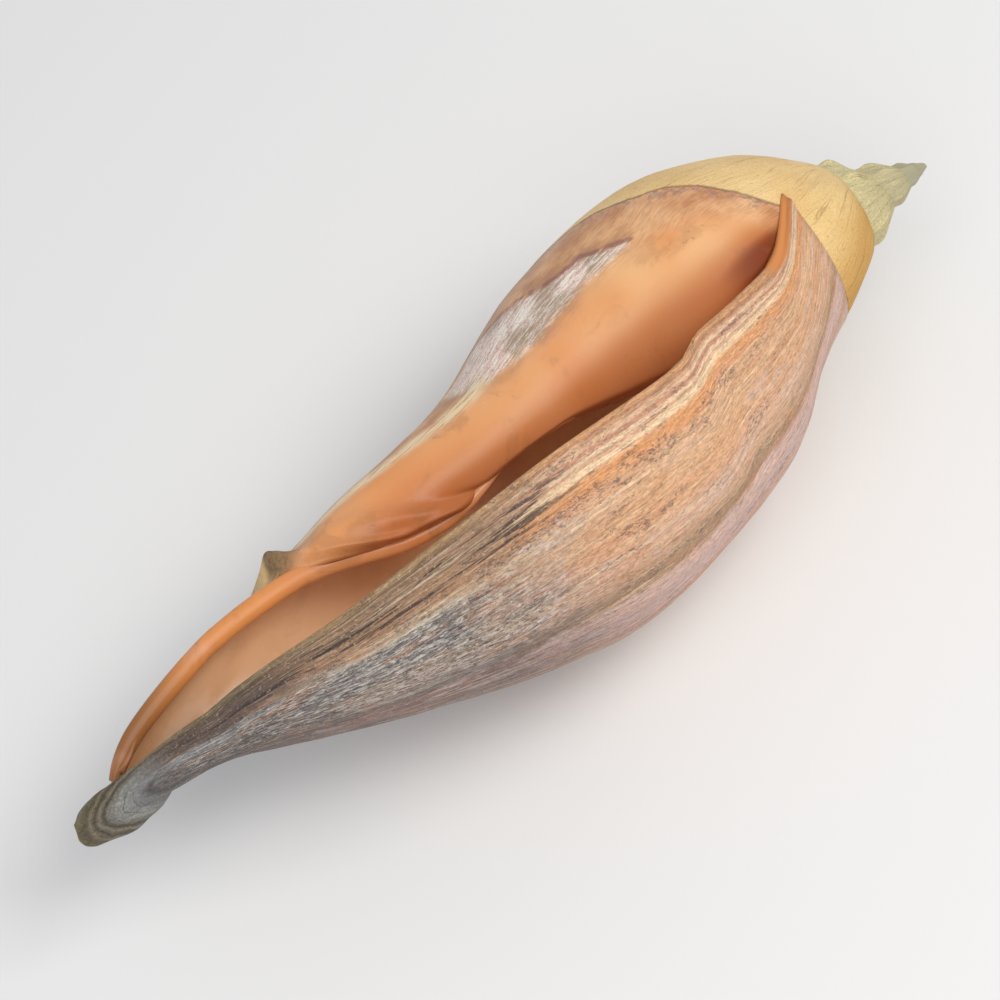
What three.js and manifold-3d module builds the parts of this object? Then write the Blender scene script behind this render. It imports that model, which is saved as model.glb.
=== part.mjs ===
import * as THREE from "three";
import { mergeVertices } from "three/addons/utils/BufferGeometryUtils.js";
import Module from "manifold-3d";

// A large volute shell, lying on its back with the aperture to the side. Lengths are millimetres.
// The shell is built around its coil axis, apex at height 0 and siphonal end far below,
// and is laid down at the end. Growth is counted in turns: 0 is the outer lip, -1 one turn earlier.

// How the whorl grows, a column for each stage, given by its turn. All lengths are at that stage.
const GROWTH = {
  turn: [-1.73, -1.23, -0.98, -0.73, -0.48, -0.23, 0, 0.17],
  // The height of its suture.
  suture: [-26.5, -35.5, -36.5, -38.5, -53, -63.5, -63.5, -62.5],
  // The drop from the suture to the widest place.
  shoulder: [33.4, 47, 57.5, 69, 81, 104, 119, 123.5],
  // The drop from the widest place to the end of the taper.
  taper: [95, 140, 211, 245, 215, 171, 178, 176],
  // The height of its anterior end.
  end: [-165, -222, -285, -358, -359, -375, -379, -379],
  // The greatest radius.
  radius: [25.8, 35, 43.5, 52.8, 62.5, 72.5, 80.5, 82.5],
  // How suddenly it tapers: above 1 the belly stays full and then falls away.
  power: [7, 7.5, 6.5, 8, 2.8, 0.92, 1, 1],
  // The share of the radius left at the end of the taper.
  neck: [0.2, 0.24, 0.31, 0.325, 0.22, 0.13, 0.115, 0.115],
  // The share by which the anterior end pinches in.
  pinch: [0.8, 0.8, 0.8, 0.15, 0.2, 0.4, 0.4, 0.4],
  // How the shoulder rises from the suture: below 1 it's full, above 1 it slopes.
  round: [0.85, 0.85, 0.85, 0.85, 0.9, 1.15, 1.1, 1.1],
};
const LENGTHS_THAT_SCALE = ["suture", "shoulder", "taper", "end"];
const EARLY_TURN = GROWTH.turn[0];
const EARLY_LENGTH_GAIN = 2;
const EARLY_RADIUS_GAIN = 2.35;

// Turns at which things begin and end, counted back from the lip.
const APEX_TURN = -4.75;
const CAVITY_END_TURN = -1.3;
const COLUMELLA_EDGE_TURN = -0.76;
const LIP_BLEND_TURNS = 0.25;
const LIP_AZIMUTH = 7;

// The outer lip, from the suture (0) to the anterior end (1): how many turns it runs ahead.
const LIP_LEAD = [
  [0, 0.098], [0.031, 0.053], [0.062, 0.028], [0.105, 0.0167], [0.248, -0.003],
  [0.396, 0.003], [0.554, 0], [0.687, -0.007], [0.82, 0.004], [0.9, 0.07], [0.95, 0.115], [1, 0.17],
];

// The axis isn't quite straight: height, shift to the right, shift to the front.
const AXIS_BEND = [
  [0, 0, 0], [-24, -2.4, 0], [-37, -3.2, 0], [-52, -3.2, 0], [-85, -1.6, 0], [-120, 0, 0], [-200, 0, 0],
  [-260, 0.5, 0], [-290, 2.5, -1.5], [-314, 6.5, -3.5], [-330, 11.5, -6], [-354, 20, -10], [-380, 22.5, -13],
];
// Above this height the whorls lean with the axis; towards the canal they stay level.
const LEANS_ABOVE = -120;
const LEVEL_BELOW = -200;

// The anterior end pinches in over this length.
const PINCH_LENGTH = 16;

// Wall of the hollow whorls.
const WALL = 3.2;
const LIP_EDGE = 2.2;
const SUTURE_STEP = 1.0;
const SUTURE_ROOT = 1.5;
const POSTERIOR_LIP_WALL = 5.0;
const INNERMOST_RADIUS = 1.2;

// Knobs on the shoulder of the spire whorls.
const KNOBS_PER_TURN = 9;
const KNOB_HEIGHT = 0.075;
const KNOB_FADE_TURN = -1.28;

// One slanting line winds up from the siphonal notch: outside it is the fasciole ridge that the old
// notches left behind, and inside the aperture it is the lower edge of the columella's main fold.
// At each turn: the line's height, how far it stands out, how far the surface drops below it,
// and how far the fold swells above it.
const NOTCH_LINE = [
  [-1.3, -188, 0.6, 5, 0], [-1.1, -213, 0.8, 6, 1.6], [-0.98, -241, 1, 6, 2.4], [-0.87, -261, 1, 5, 1.6],
  [-0.78, -271, 2.8, 3.4, 0.6], [-0.73, -274, 4.6, 3, 0], [-0.66, -279, 3.4, 2.6, 0],
  [-0.48, -302, 2.2, 1.5, 0], [-0.23, -350, 0.8, 0, 0], [0, -362, 0.6, 0, 0], [0.17, -371, 0, 0, 0],
];
const RIDGE_WIDTH = 3.6;
const DROP_WIDTH = 5;
const FOLD_ABOVE_LINE = 16;
const FOLD_WIDTH = 9;

// The crease above the main fold: its height, depth and half width, and the turns that it spans.
const CREASE = { height: -191, depth: 1.8, width: 4.5, from: -1.25, to: -0.88, fade: 0.06 };

// The columella: height, shift to the right, shift to the back, radius.
const COLUMELLA = [
  [-110, -1, 0, 8], [-150, -2, 0, 10], [-190, -2.5, 0, 11], [-218, -3.5, 1, 11.5], [-235, -6, 2, 10.5],
  [-252, -9, 2.5, 8], [-268, -10.2, 2, 6.2], [-293, -10.2, 1.5, 4.2], [-315, -11, 1, 3.4],
  [-340, -11.3, 1, 2.9], [-355, -9, 1, 2],
];

// How finely the shell is meshed.
const CORE_STEPS_PER_TURN = 36;
const CORE_SHOULDER_ROWS = 5;
const CORE_LOWER_ROWS = 8;
const SHEET_STEPS_PER_TURN = 38;
const ROWS_ABOVE_LINE = 19;
const ROWS_BELOW_LINE = 7;
const COLUMELLA_RINGS = 26;
const COLUMELLA_SIDES = 18;

// Rest pose: the azimuth of the side that faces up, the rise of the apex end, and how deep the flat
// is that the shell rests on.
const UP_AZIMUTH = -30;
const APEX_RISE = -3.25;
const REST_FLAT_DEPTH = 0.4;

const FULL_TURN = 2 * Math.PI;
const radians = THREE.MathUtils.degToRad;
const smoothstep = THREE.MathUtils.smoothstep;
const clamp = THREE.MathUtils.clamp;

// A smooth curve through points given in rising x that never overshoots them.
function curve(xs, ys) {
  const last = xs.length - 1;
  const slopes = xs.slice(1).map((x, i) => (ys[i + 1] - ys[i]) / (x - xs[i]));
  const tangents = xs.map((x, i) => {
    if (i === 0) return slopes[0];
    if (i === last) return slopes[last - 1];
    const before = slopes[i - 1];
    const after = slopes[i];
    if (before * after <= 0) return 0;
    const widthBefore = x - xs[i - 1];
    const widthAfter = xs[i + 1] - x;
    const weightBefore = 2 * widthAfter + widthBefore;
    const weightAfter = widthAfter + 2 * widthBefore;
    return (weightBefore + weightAfter) / (weightBefore / before + weightAfter / after);
  });
  return (at) => {
    const x = clamp(at, xs[0], xs[last]);
    let i = 0;
    while (i < last - 1 && x > xs[i + 1]) i += 1;
    const width = xs[i + 1] - xs[i];
    const t = (x - xs[i]) / width;
    const s = 1 - t;
    return ys[i] * (1 + 2 * t) * s * s + tangents[i] * width * t * s * s
      + ys[i + 1] * t * t * (1 + 2 * s) - tangents[i + 1] * width * t * t * s;
  };
}

// One curve per column of a table whose first column is x, rising or falling.
function curvesOf(table) {
  const rows = [...table].sort((a, b) => a[0] - b[0]);
  const xs = rows.map((row) => row[0]);
  return rows[0].slice(1).map((_, k) => curve(xs, rows.map((row) => row[k + 1])));
}

const growthCurves = Object.entries(GROWTH)
  .filter(([key]) => key !== "turn")
  .map(([key, values]) => [key, curve(GROWTH.turn, values)]);
const [lipLead] = curvesOf(LIP_LEAD);
const [bendRight, bendFront] = curvesOf(AXIS_BEND);
const [lineHeight, lineOut, lineDrop, foldOut] = curvesOf(NOTCH_LINE);
const [columellaRight, columellaBack, columellaRadius] = curvesOf(COLUMELLA);

// The whorl's measures at a turn; the early whorls are scaled copies of one another.
function stageAt(turn) {
  const stage = Object.fromEntries(growthCurves.map(([key, valueAt]) => [key, valueAt(turn)]));
  if (turn < EARLY_TURN) {
    for (const key of LENGTHS_THAT_SCALE) stage[key] *= EARLY_LENGTH_GAIN ** (turn - EARLY_TURN);
    stage.radius *= EARLY_RADIUS_GAIN ** (turn - EARLY_TURN);
  }
  return stage;
}

// Share of the way from suture radius to widest radius, by the share of the drop to the shoulder.
function shoulderRise(stage, share) {
  return Math.sin(0.5 * Math.PI * share) ** stage.round;
}

// Radius of the suture: the whorl sits on the one before it.
function sutureRadius(turn) {
  const stage = stageAt(turn);
  const before = stageAt(turn - 1);
  if (turn < EARLY_TURN) {
    const rise = shoulderRise(before, (before.suture - stage.suture) / before.shoulder);
    return stage.radius * rise / (EARLY_RADIUS_GAIN - 1 + rise);
  }
  return smoothRadius(turn - 1, stage.suture);
}

// Outer radius of the whorl at a turn and a height, without its ornament.
function smoothRadius(turn, height) {
  const stage = stageAt(turn);
  const drop = stage.suture - height;
  if (drop < stage.shoulder) {
    const seat = sutureRadius(turn) / stage.radius;
    const rise = shoulderRise(stage, clamp(drop / stage.shoulder, 0, 1));
    return stage.radius * (seat + (1 - seat) * rise);
  }
  const share = clamp((drop - stage.shoulder) / stage.taper, 0, 1);
  const fall = Math.cos(0.5 * Math.PI * share) ** stage.power;
  const rounding = 1 - stage.pinch * smoothstep(-height, -stage.end - PINCH_LENGTH, -stage.end);
  return stage.radius * (stage.neck + (1 - stage.neck) * fall) * rounding;
}

// A bump of height 1 that fades to nothing a few widths away.
function bump(distance, width) {
  return Math.exp(-((distance / width) ** 2));
}

// Knobs on the shoulder of the spire whorls, one row per whorl.
function knobs(turn, height) {
  const stage = stageAt(turn);
  const band = clamp((stage.suture - height) / (stage.suture - stageAt(turn + 1).suture), 0, 1);
  const wave = Math.max(0, Math.cos(FULL_TURN * KNOBS_PER_TURN * turn));
  const fade = 1 - smoothstep(turn, KNOB_FADE_TURN - 0.2, KNOB_FADE_TURN);
  return KNOB_HEIGHT * stage.radius * wave * fade * Math.sin(Math.PI * band) ** 2;
}

// The fasciole ridge, and the columella's folds and crease.
function folds(turn, height) {
  if (turn < NOTCH_LINE[0][0]) return 0;
  const above = height - lineHeight(turn);
  const drop = lineDrop(turn) * smoothstep(-above, -1, DROP_WIDTH);
  const ridge = lineOut(turn) * bump(above, RIDGE_WIDTH) - drop;
  const fold = foldOut(turn) * bump(above - FOLD_ABOVE_LINE, FOLD_WIDTH);
  const span = smoothstep(turn, CREASE.from, CREASE.from + CREASE.fade)
    * (1 - smoothstep(turn, CREASE.to - CREASE.fade, CREASE.to));
  return ridge + fold - CREASE.depth * span * bump(height - CREASE.height, CREASE.width);
}

function outerRadius(turn, height) {
  return smoothRadius(turn, height) + knobs(turn, height) + folds(turn, height);
}

// The point at a radius, an azimuth from the front towards the right, and a height on the bent axis.
function place(radius, azimuth, height) {
  const step = 1;
  const slopeRight = (bendRight(height + step) - bendRight(height - step)) / (2 * step);
  const slopeFront = (bendFront(height + step) - bendFront(height - step)) / (2 * step);
  const right = radius * Math.sin(azimuth);
  const front = radius * Math.cos(azimuth);
  const lean = (slopeRight * right + slopeFront * front) * smoothstep(height, LEVEL_BELOW, LEANS_ABOVE);
  return new THREE.Vector3(bendRight(height) + right, -bendFront(height) - front, height - lean);
}

function azimuthAt(turn) {
  return radians(LIP_AZIMUTH) - FULL_TURN * turn;
}

function onWhorl(turn, height, radius = outerRadius(turn, height)) {
  return place(radius, azimuthAt(turn), height);
}

// Collects points and triangles, and gives them back as a closed three.js geometry.
class Surface {
  constructor() {
    this.points = [];
    this.triangles = [];
  }

  point(position) {
    this.points.push(position);
    return this.points.length - 1;
  }

  triangle(a, b, c) {
    if (a !== b && b !== c && c !== a) this.triangles.push(a, b, c);
  }

  // Quads between two rows of the same length.
  strip(row, next) {
    for (let k = 0; k + 1 < row.length; k += 1) {
      this.triangle(row[k], next[k], row[k + 1]);
      this.triangle(row[k + 1], next[k], next[k + 1]);
    }
  }

  // Triangles between two chains of any length, stepping along whichever is behind.
  zip(chain, other) {
    let a = 0;
    let b = 0;
    while (a + 1 < chain.length || b + 1 < other.length) {
      const share = (a + 1) / chain.length;
      const otherShare = (b + 1) / other.length;
      if (b + 1 === other.length || (a + 1 < chain.length && share <= otherShare)) {
        this.triangle(chain[a], other[b], chain[a + 1]);
        a += 1;
      } else {
        this.triangle(chain[a], other[b], other[b + 1]);
        b += 1;
      }
    }
  }

  // Closes a ring whose two halves run opposite each other.
  closeRing(ring) {
    const half = ring.length / 2;
    this.zip(ring.slice(0, Math.ceil(half)), ring.slice(Math.ceil(half)).reverse());
  }

  geometry() {
    const geometry = new THREE.BufferGeometry();
    const coordinates = this.points.flatMap((p) => [p.x, p.y, p.z]);
    geometry.setAttribute("position", new THREE.Float32BufferAttribute(coordinates, 3));
    geometry.setIndex(this.triangles);
    return volumeOf(geometry) < 0 ? turnedOut(geometry) : geometry;
  }
}

function volumeOf(geometry) {
  const position = geometry.getAttribute("position");
  const index = geometry.getIndex();
  const corners = [new THREE.Vector3(), new THREE.Vector3(), new THREE.Vector3()];
  let volume = 0;
  for (let k = 0; k < index.count; k += 3) {
    corners.forEach((corner, n) => corner.fromBufferAttribute(position, index.getX(k + n)));
    volume += corners[0].dot(corners[1].cross(corners[2])) / 6;
  }
  return volume;
}

function turnedOut(geometry) {
  const order = Array.from(geometry.getIndex().array);
  for (let k = 0; k < order.length; k += 3) [order[k], order[k + 1]] = [order[k + 1], order[k]];
  geometry.setIndex(order);
  return geometry;
}

// A closed body made of rings with as many points each.
function loftedBody(rings) {
  const surface = new Surface();
  const rows = rings.map((ring) => ring.map((position) => surface.point(position)));
  for (let k = 0; k + 1 < rows.length; k += 1) {
    surface.strip([...rows[k], rows[k][0]], [...rows[k + 1], rows[k + 1][0]]);
  }
  surface.closeRing([...rows[0]].reverse());
  surface.closeRing(rows[rows.length - 1]);
  return surface.geometry();
}

// The early whorls, solid: each whorl shows from its own suture down to the next one's.
function makeSpire() {
  const surface = new Surface();
  const steps = Math.round((CAVITY_END_TURN - APEX_TURN) * CORE_STEPS_PER_TURN);
  const firstLong = steps - CORE_STEPS_PER_TURN;
  const columns = [];
  const sutures = [];
  const turnOf = (k) => CAVITY_END_TURN - (steps - k) / CORE_STEPS_PER_TURN;
  for (let k = 0; k <= steps; k += 1) {
    const turn = turnOf(k);
    const height = stageAt(turn).suture;
    sutures.push(surface.point(onWhorl(turn, height, sutureRadius(turn))));
  }
  for (let k = 0; k <= steps; k += 1) {
    const turn = turnOf(k);
    const top = stageAt(turn).suture;
    const nextSuture = stageAt(turn + 1).suture;
    const column = [sutures[k]];
    for (let row = 1; row < CORE_SHOULDER_ROWS; row += 1) {
      const height = THREE.MathUtils.lerp(top, nextSuture, row / CORE_SHOULDER_ROWS);
      column.push(surface.point(onWhorl(turn, height)));
    }
    if (k <= firstLong) column.push(sutures[k + CORE_STEPS_PER_TURN]);
    else column.push(surface.point(onWhorl(turn, nextSuture)));
    if (k >= firstLong) {
      for (let row = 1; row <= CORE_LOWER_ROWS; row += 1) {
        const height = THREE.MathUtils.lerp(nextSuture, stageAt(turn).end, row / CORE_LOWER_ROWS);
        column.push(surface.point(onWhorl(turn, height)));
      }
    }
    columns.push(column);
  }
  for (let k = 0; k < steps; k += 1) {
    const length = Math.min(columns[k].length, columns[k + 1].length);
    surface.strip(columns[k].slice(0, length), columns[k + 1].slice(0, length));
  }
  const first = columns[0];
  const last = columns[steps];
  const hidden = columns[firstLong].slice(CORE_SHOULDER_ROWS);
  surface.zip(last, hidden);
  const apex = surface.point(place(0, 0, 0));
  const rim = [...sutures.slice(0, CORE_STEPS_PER_TURN + 1), ...first.slice(1, -1).reverse(), sutures[0]];
  for (let k = 0; k + 1 < rim.length; k += 1) surface.triangle(rim[k + 1], rim[k], apex);
  const foot = surface.point(place(0, 0, stageAt(CAVITY_END_TURN).end));
  const bottoms = columns.slice(firstLong).map((column) => column[column.length - 1]);
  for (let k = 0; k + 1 < bottoms.length; k += 1) surface.triangle(bottoms[k], bottoms[k + 1], foot);
  surface.triangle(bottoms[bottoms.length - 1], bottoms[0], foot);
  return surface.geometry();
}

// The wall is thicker at the back end of the lip, where it meets the whorl before.
function wallThickness(turn, share) {
  const nearLip = smoothstep(turn, -0.1, 0);
  const nearSuture = 1 - smoothstep(share, 0.02, 0.2);
  return WALL + (POSTERIOR_LIP_WALL - WALL) * nearLip * nearSuture;
}

// Inside the aperture the wall stops just below the notch line, where the columella takes over;
// outside it runs on to the anterior end.
const stopsAtLine = (turn) => lineHeight(turn) - DROP_WIDTH;
const runsToEnd = (turn) => stageAt(turn).end;

// Heights of the rows of the wall, from the suture to its end. The rows follow the notch line, and
// lie closer together towards it.
function rowHeight(turn, row, endOf) {
  const line = lineHeight(turn);
  if (row <= ROWS_ABOVE_LINE) {
    const share = row / ROWS_ABOVE_LINE;
    return THREE.MathUtils.lerp(stageAt(turn).suture, line, share + 0.13 * Math.sin(Math.PI * share) * share);
  }
  const share = (row - ROWS_ABOVE_LINE) / ROWS_BELOW_LINE;
  return THREE.MathUtils.lerp(line, endOf(turn), share - 0.2 * Math.sin(Math.PI * share) * (1 - share));
}

// One ring of the hollow whorl's wall: down the outside, round the end, up the inside.
function wallRing(step, endOf, ahead = 0, thinning = 1) {
  const lipWeight = smoothstep(step, -LIP_BLEND_TURNS, 0);
  const { suture, end } = stageAt(step);
  const outside = [];
  const inside = [];
  for (let row = 0; row <= ROWS_ABOVE_LINE + ROWS_BELOW_LINE; row += 1) {
    const share = (suture - rowHeight(step, row, endOf)) / (suture - end);
    const turn = step + ahead + lipWeight * lipLead(share);
    const height = rowHeight(turn, row, endOf);
    const out = outerRadius(turn, height) + SUTURE_STEP * (1 - smoothstep(share, 0, 0.15));
    const seat = outerRadius(turn - 1, height) - SUTURE_ROOT;
    const root = height > stageAt(turn - 1).end ? Math.min(seat, out - SUTURE_STEP) : 0;
    const inner = Math.max(out - wallThickness(turn, share), root, INNERMOST_RADIUS);
    const middle = 0.5 * (out + inner);
    const half = 0.5 * (out - inner) * thinning;
    outside.push(onWhorl(turn, height, middle + half));
    inside.push(onWhorl(turn, height, middle - half));
  }
  return [...outside, ...inside.reverse()];
}

// Rings of the hollow whorls' wall between two turns.
function wallRings(fromTurn, toTurn, endOf) {
  const steps = Math.round((toTurn - fromTurn) * SHEET_STEPS_PER_TURN);
  const rings = [];
  for (let k = 0; k <= steps; k += 1) {
    rings.push(wallRing(THREE.MathUtils.lerp(fromTurn, toTurn, k / steps), endOf));
  }
  return rings;
}

// The inner stretch of the wall, which ends on the columella.
function makeInnerWall() {
  return loftedBody(wallRings(CAVITY_END_TURN, COLUMELLA_EDGE_TURN, stopsAtLine));
}

// The outer stretch of the wall, which ends in the rounded outer lip.
function makeOuterWall() {
  const rounding = LIP_EDGE / (FULL_TURN * stageAt(0).radius);
  return loftedBody([
    ...wallRings(COLUMELLA_EDGE_TURN, 0, runsToEnd),
    wallRing(0, runsToEnd, 0.6 * rounding, 0.7),
    wallRing(0, runsToEnd, rounding, 0.25),
  ]);
}

// The columella, a tapering pillar.
function makeColumella() {
  const top = COLUMELLA[0][0];
  const bottom = COLUMELLA[COLUMELLA.length - 1][0];
  const rings = [];
  for (let k = 0; k <= COLUMELLA_RINGS; k += 1) {
    const height = THREE.MathUtils.lerp(top, bottom, k / COLUMELLA_RINGS);
    const ring = [];
    for (let side = 0; side < COLUMELLA_SIDES; side += 1) {
      const angle = FULL_TURN * side / COLUMELLA_SIDES;
      const radius = columellaRadius(height);
      const right = columellaRight(height) + radius * Math.sin(angle);
      const back = columellaBack(height) - radius * Math.cos(angle);
      ring.push(place(Math.hypot(right, back), Math.atan2(right, -back), height));
    }
    rings.push(ring);
  }
  return loftedBody(rings);
}

const wasm = await Module();
wasm.setup();

function solidOf(geometry) {
  const merged = mergeVertices(geometry);
  return new wasm.Manifold(new wasm.Mesh({
    numProp: 3,
    vertProperties: new Float32Array(merged.getAttribute("position").array),
    triVerts: new Uint32Array(merged.getIndex().array),
  }));
}

function geometryOf(solid) {
  const mesh = solid.getMesh();
  const geometry = new THREE.BufferGeometry();
  geometry.setAttribute("position", new THREE.Float32BufferAttribute(mesh.vertProperties, 3));
  geometry.setIndex(Array.from(mesh.triVerts));
  return geometry;
}

// The shell in its rest pose, apex towards +X, before its origin is set.
function layDown(geometry) {
  const turn = new THREE.Euler(0, radians(90 - APEX_RISE), radians(-90 - UP_AZIMUTH));
  return geometry.applyMatrix4(new THREE.Matrix4().makeRotationFromEuler(turn));
}

// Takes the lowest fraction of a millimetre off, which leaves the small flat that the shell rests on.
function withRestFlat(solid) {
  const { min, max } = solid.boundingBox();
  const size = new THREE.Vector3(max[0] - min[0], max[1] - min[1], max[2] - min[2]).multiplyScalar(2);
  const floor = new THREE.BoxGeometry(size.x, size.y, size.z);
  floor.deleteAttribute("normal");
  floor.deleteAttribute("uv");
  floor.translate((min[0] + max[0]) / 2, (min[1] + max[1]) / 2, min[2] + REST_FLAT_DEPTH - size.z / 2);
  return solid.subtract(solidOf(floor));
}

// Leaves out the slivers that two walls meeting at a grazing angle can leave behind.
function largestPiece(solid) {
  return solid.decompose().reduce((largest, piece) => (piece.volume() > largest.volume() ? piece : largest));
}

const bodies = [
  makeSpire(),
  makeInnerWall(),
  makeOuterWall(),
  makeColumella(),
];
const joined = bodies.map((body) => solidOf(layDown(body))).reduce((whole, body) => whole.add(body));

const material = new THREE.MeshStandardMaterial({ color: 0xc98f5f, roughness: 0.45, metalness: 0 });
const shell = new THREE.Mesh(geometryOf(withRestFlat(largestPiece(joined))), material);
shell.name = "shell";

// The origin is under the middle of the shell, on the surface that it rests on.
shell.geometry.computeBoundingBox();
const { min, max } = shell.geometry.boundingBox;
shell.position.set(-(min.x + max.x) / 2, -(min.y + max.y) / 2, -min.z);

const group = new THREE.Group();
group.add(shell);

export default group;
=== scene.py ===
"""The looks of a large volute shell: one fine mesh grown from the same curves as the CAD solid,
its procedural finish, a plain studio and the camera at the photograph's angle."""

from __future__ import annotations

import logging
import math
from dataclasses import dataclass, field
from enum import Enum
from functools import partial, reduce
from typing import Callable, Iterable, Sequence

import bpy
import numpy as np
from mathutils import Matrix, Vector


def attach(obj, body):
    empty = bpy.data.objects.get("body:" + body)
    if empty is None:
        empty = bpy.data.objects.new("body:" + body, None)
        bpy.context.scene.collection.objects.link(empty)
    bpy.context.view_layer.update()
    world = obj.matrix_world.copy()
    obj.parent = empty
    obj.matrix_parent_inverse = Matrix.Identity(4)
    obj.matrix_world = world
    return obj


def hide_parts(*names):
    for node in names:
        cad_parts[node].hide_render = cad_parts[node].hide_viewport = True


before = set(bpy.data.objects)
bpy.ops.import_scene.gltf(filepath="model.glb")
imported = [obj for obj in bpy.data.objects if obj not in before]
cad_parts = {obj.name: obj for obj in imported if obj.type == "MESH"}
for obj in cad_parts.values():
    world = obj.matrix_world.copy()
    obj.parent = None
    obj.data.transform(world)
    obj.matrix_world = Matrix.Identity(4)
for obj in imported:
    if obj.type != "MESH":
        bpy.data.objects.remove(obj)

log = logging.getLogger("shell")

Array = np.ndarray
Triple = tuple[float, float, float]
Colour = Triple
Stops = tuple[tuple[float, Colour], ...]
Line = tuple[tuple[float, ...], tuple[float, ...]]
MM = 0.001


class Part(Enum):
    """The stretches of surface that the fine mesh is made of."""

    SPIRE = 0
    INNER_WALL = 1
    OUTER_WALL = 2
    COLUMELLA = 3
    FOLD = 4


def smoothstep(x: Array, low: float, high: float) -> Array:
    """Smooth rise from 0 at low to 1 at high."""
    t = np.clip((x - low) / (high - low), 0.0, 1.0)
    return t * t * (3.0 - 2.0 * t)


def bump(distance: Array, width: float) -> Array:
    """A bell of height 1, which has fallen to about a third at its width."""
    return np.exp(-((distance / width) ** 2))


class Curve:
    """A smooth curve through points that never overshoots them."""

    def __init__(self, xs: Sequence[float], ys: Sequence[float]) -> None:
        """Prepares the curve.

        Args:
            xs: The points' places, in any order.
            ys: Their values.
        """
        order = np.argsort(xs)
        self.xs = np.asarray(xs, float)[order]
        self.ys = np.asarray(ys, float)[order]
        widths = np.diff(self.xs)
        slopes = np.diff(self.ys) / widths
        before, after = slopes[:-1], slopes[1:]
        weight_before = 2 * widths[1:] + widths[:-1]
        weight_after = widths[1:] + 2 * widths[:-1]
        rising = before * after > 0
        parts = weight_before / np.where(rising, before, 1.0) + weight_after / np.where(rising, after, 1.0)
        mean = (weight_before + weight_after) / parts
        self.tangents = np.concatenate([slopes[:1], np.where(rising, mean, 0.0), slopes[-1:]])

    def __call__(self, at: Array) -> Array:
        """The curve's value.

        Args:
            at: Places, held to the first and last point.

        Returns:
            The values there.
        """
        x = np.clip(at, self.xs[0], self.xs[-1])
        i = np.clip(np.searchsorted(self.xs, x, side="right") - 1, 0, len(self.xs) - 2)
        width = self.xs[i + 1] - self.xs[i]
        t = (x - self.xs[i]) / width
        s = 1 - t
        rise = self.ys[i] * (1 + 2 * t) * s * s + self.tangents[i] * width * t * s * s
        return rise + self.ys[i + 1] * t * t * (1 + 2 * s) - self.tangents[i + 1] * width * t * t * s


def smooth_path(corners: Array, widths: Array, count: int, passes: int = 12) -> tuple[Array, Array]:
    """An even, rounded path through corners.

    Args:
        corners: The corners, one a row.
        widths: A width at each.
        count: How many points the path gets.
        passes: How often it is rounded.

    Returns:
        The path's points, and the width at each.
    """
    along = np.concatenate([[0], np.cumsum(np.linalg.norm(np.diff(corners, axis=0), axis=1))])
    even = np.linspace(0, along[-1], count)
    values = np.column_stack([corners, widths])
    path = np.column_stack([np.interp(even, along, column) for column in values.T])
    for _ in range(passes):
        path[1:-1] = 0.25 * path[:-2] + 0.5 * path[1:-1] + 0.25 * path[2:]
    return path[:, :3], path[:, 3]


# The whorl's measures, turn by turn: lengths in millimetres, the rest are shares and powers
STAGE_TURNS = (-1.73, -1.23, -0.98, -0.73, -0.48, -0.23, 0, 0.17)
STAGES = {
    name: Curve(STAGE_TURNS, values)
    for name, values in {
        "suture": (-26.5, -35.5, -36.5, -38.5, -53, -63.5, -63.5, -62.5),
        "shoulder": (33.4, 47, 57.5, 69, 81, 104, 119, 123.5),
        "taper": (95, 140, 211, 245, 215, 171, 178, 176),
        "end": (-165, -222, -285, -358, -359, -375, -379.4, -377.6),
        "radius": (25.8, 35, 43.5, 52.8, 62.5, 72.5, 80.5, 82.5),
        "power": (7, 7.5, 6.5, 8, 2.8, 0.92, 1, 1),
        "neck": (0.2, 0.24, 0.31, 0.325, 0.22, 0.13, 0.115, 0.115),
        "pinch": (0.8, 0.8, 0.8, 0.15, 0.2, 0.4, 0.4, 0.4),
        "round": (0.85, 0.85, 0.85, 0.85, 0.9, 1.15, 1.1, 1.1),
    }.items()
}
LENGTHS_THAT_SCALE = ("suture", "shoulder", "taper", "end")

# Millimetres round the last whorl that a turn of growth is counted as
AGE_LENGTH = 452.0

# The coil axis: how far it bends to the right and to the front, by height
BEND_HEIGHTS = (0, -24, -37, -52, -85, -120, -200, -260, -290, -314, -330, -354, -380)
BEND_RIGHT = Curve(BEND_HEIGHTS, (0.6, -1.8, -2.7, -3.2, -1.6, 0, 0, 0.5, 2.5, 6.5, 11.5, 20, 22.5))
BEND_FRONT = Curve(BEND_HEIGHTS, (0, 0, 0, 0, 0, 0, 0, 0, -1.5, -3.5, -6, -10, -13))

# How many turns the lip leads or lags, by share of its height, in part as a program measured it
LIP_LEAD = Curve(
    (0, 0.031, 0.062, 0.09, 0.127, 0.2, 0.25, 0.396, 0.554, 0.687, 0.82, 0.9, 0.945, 0.975, 1),
    (0.082, 0.045, 0.0215, 0.0135, 0.013, 0.0115, 0.001)
    + (0.003, -0.003, -0.011, 0.001, 0.075, 0.14, 0.17, 0.13),
)

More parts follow.
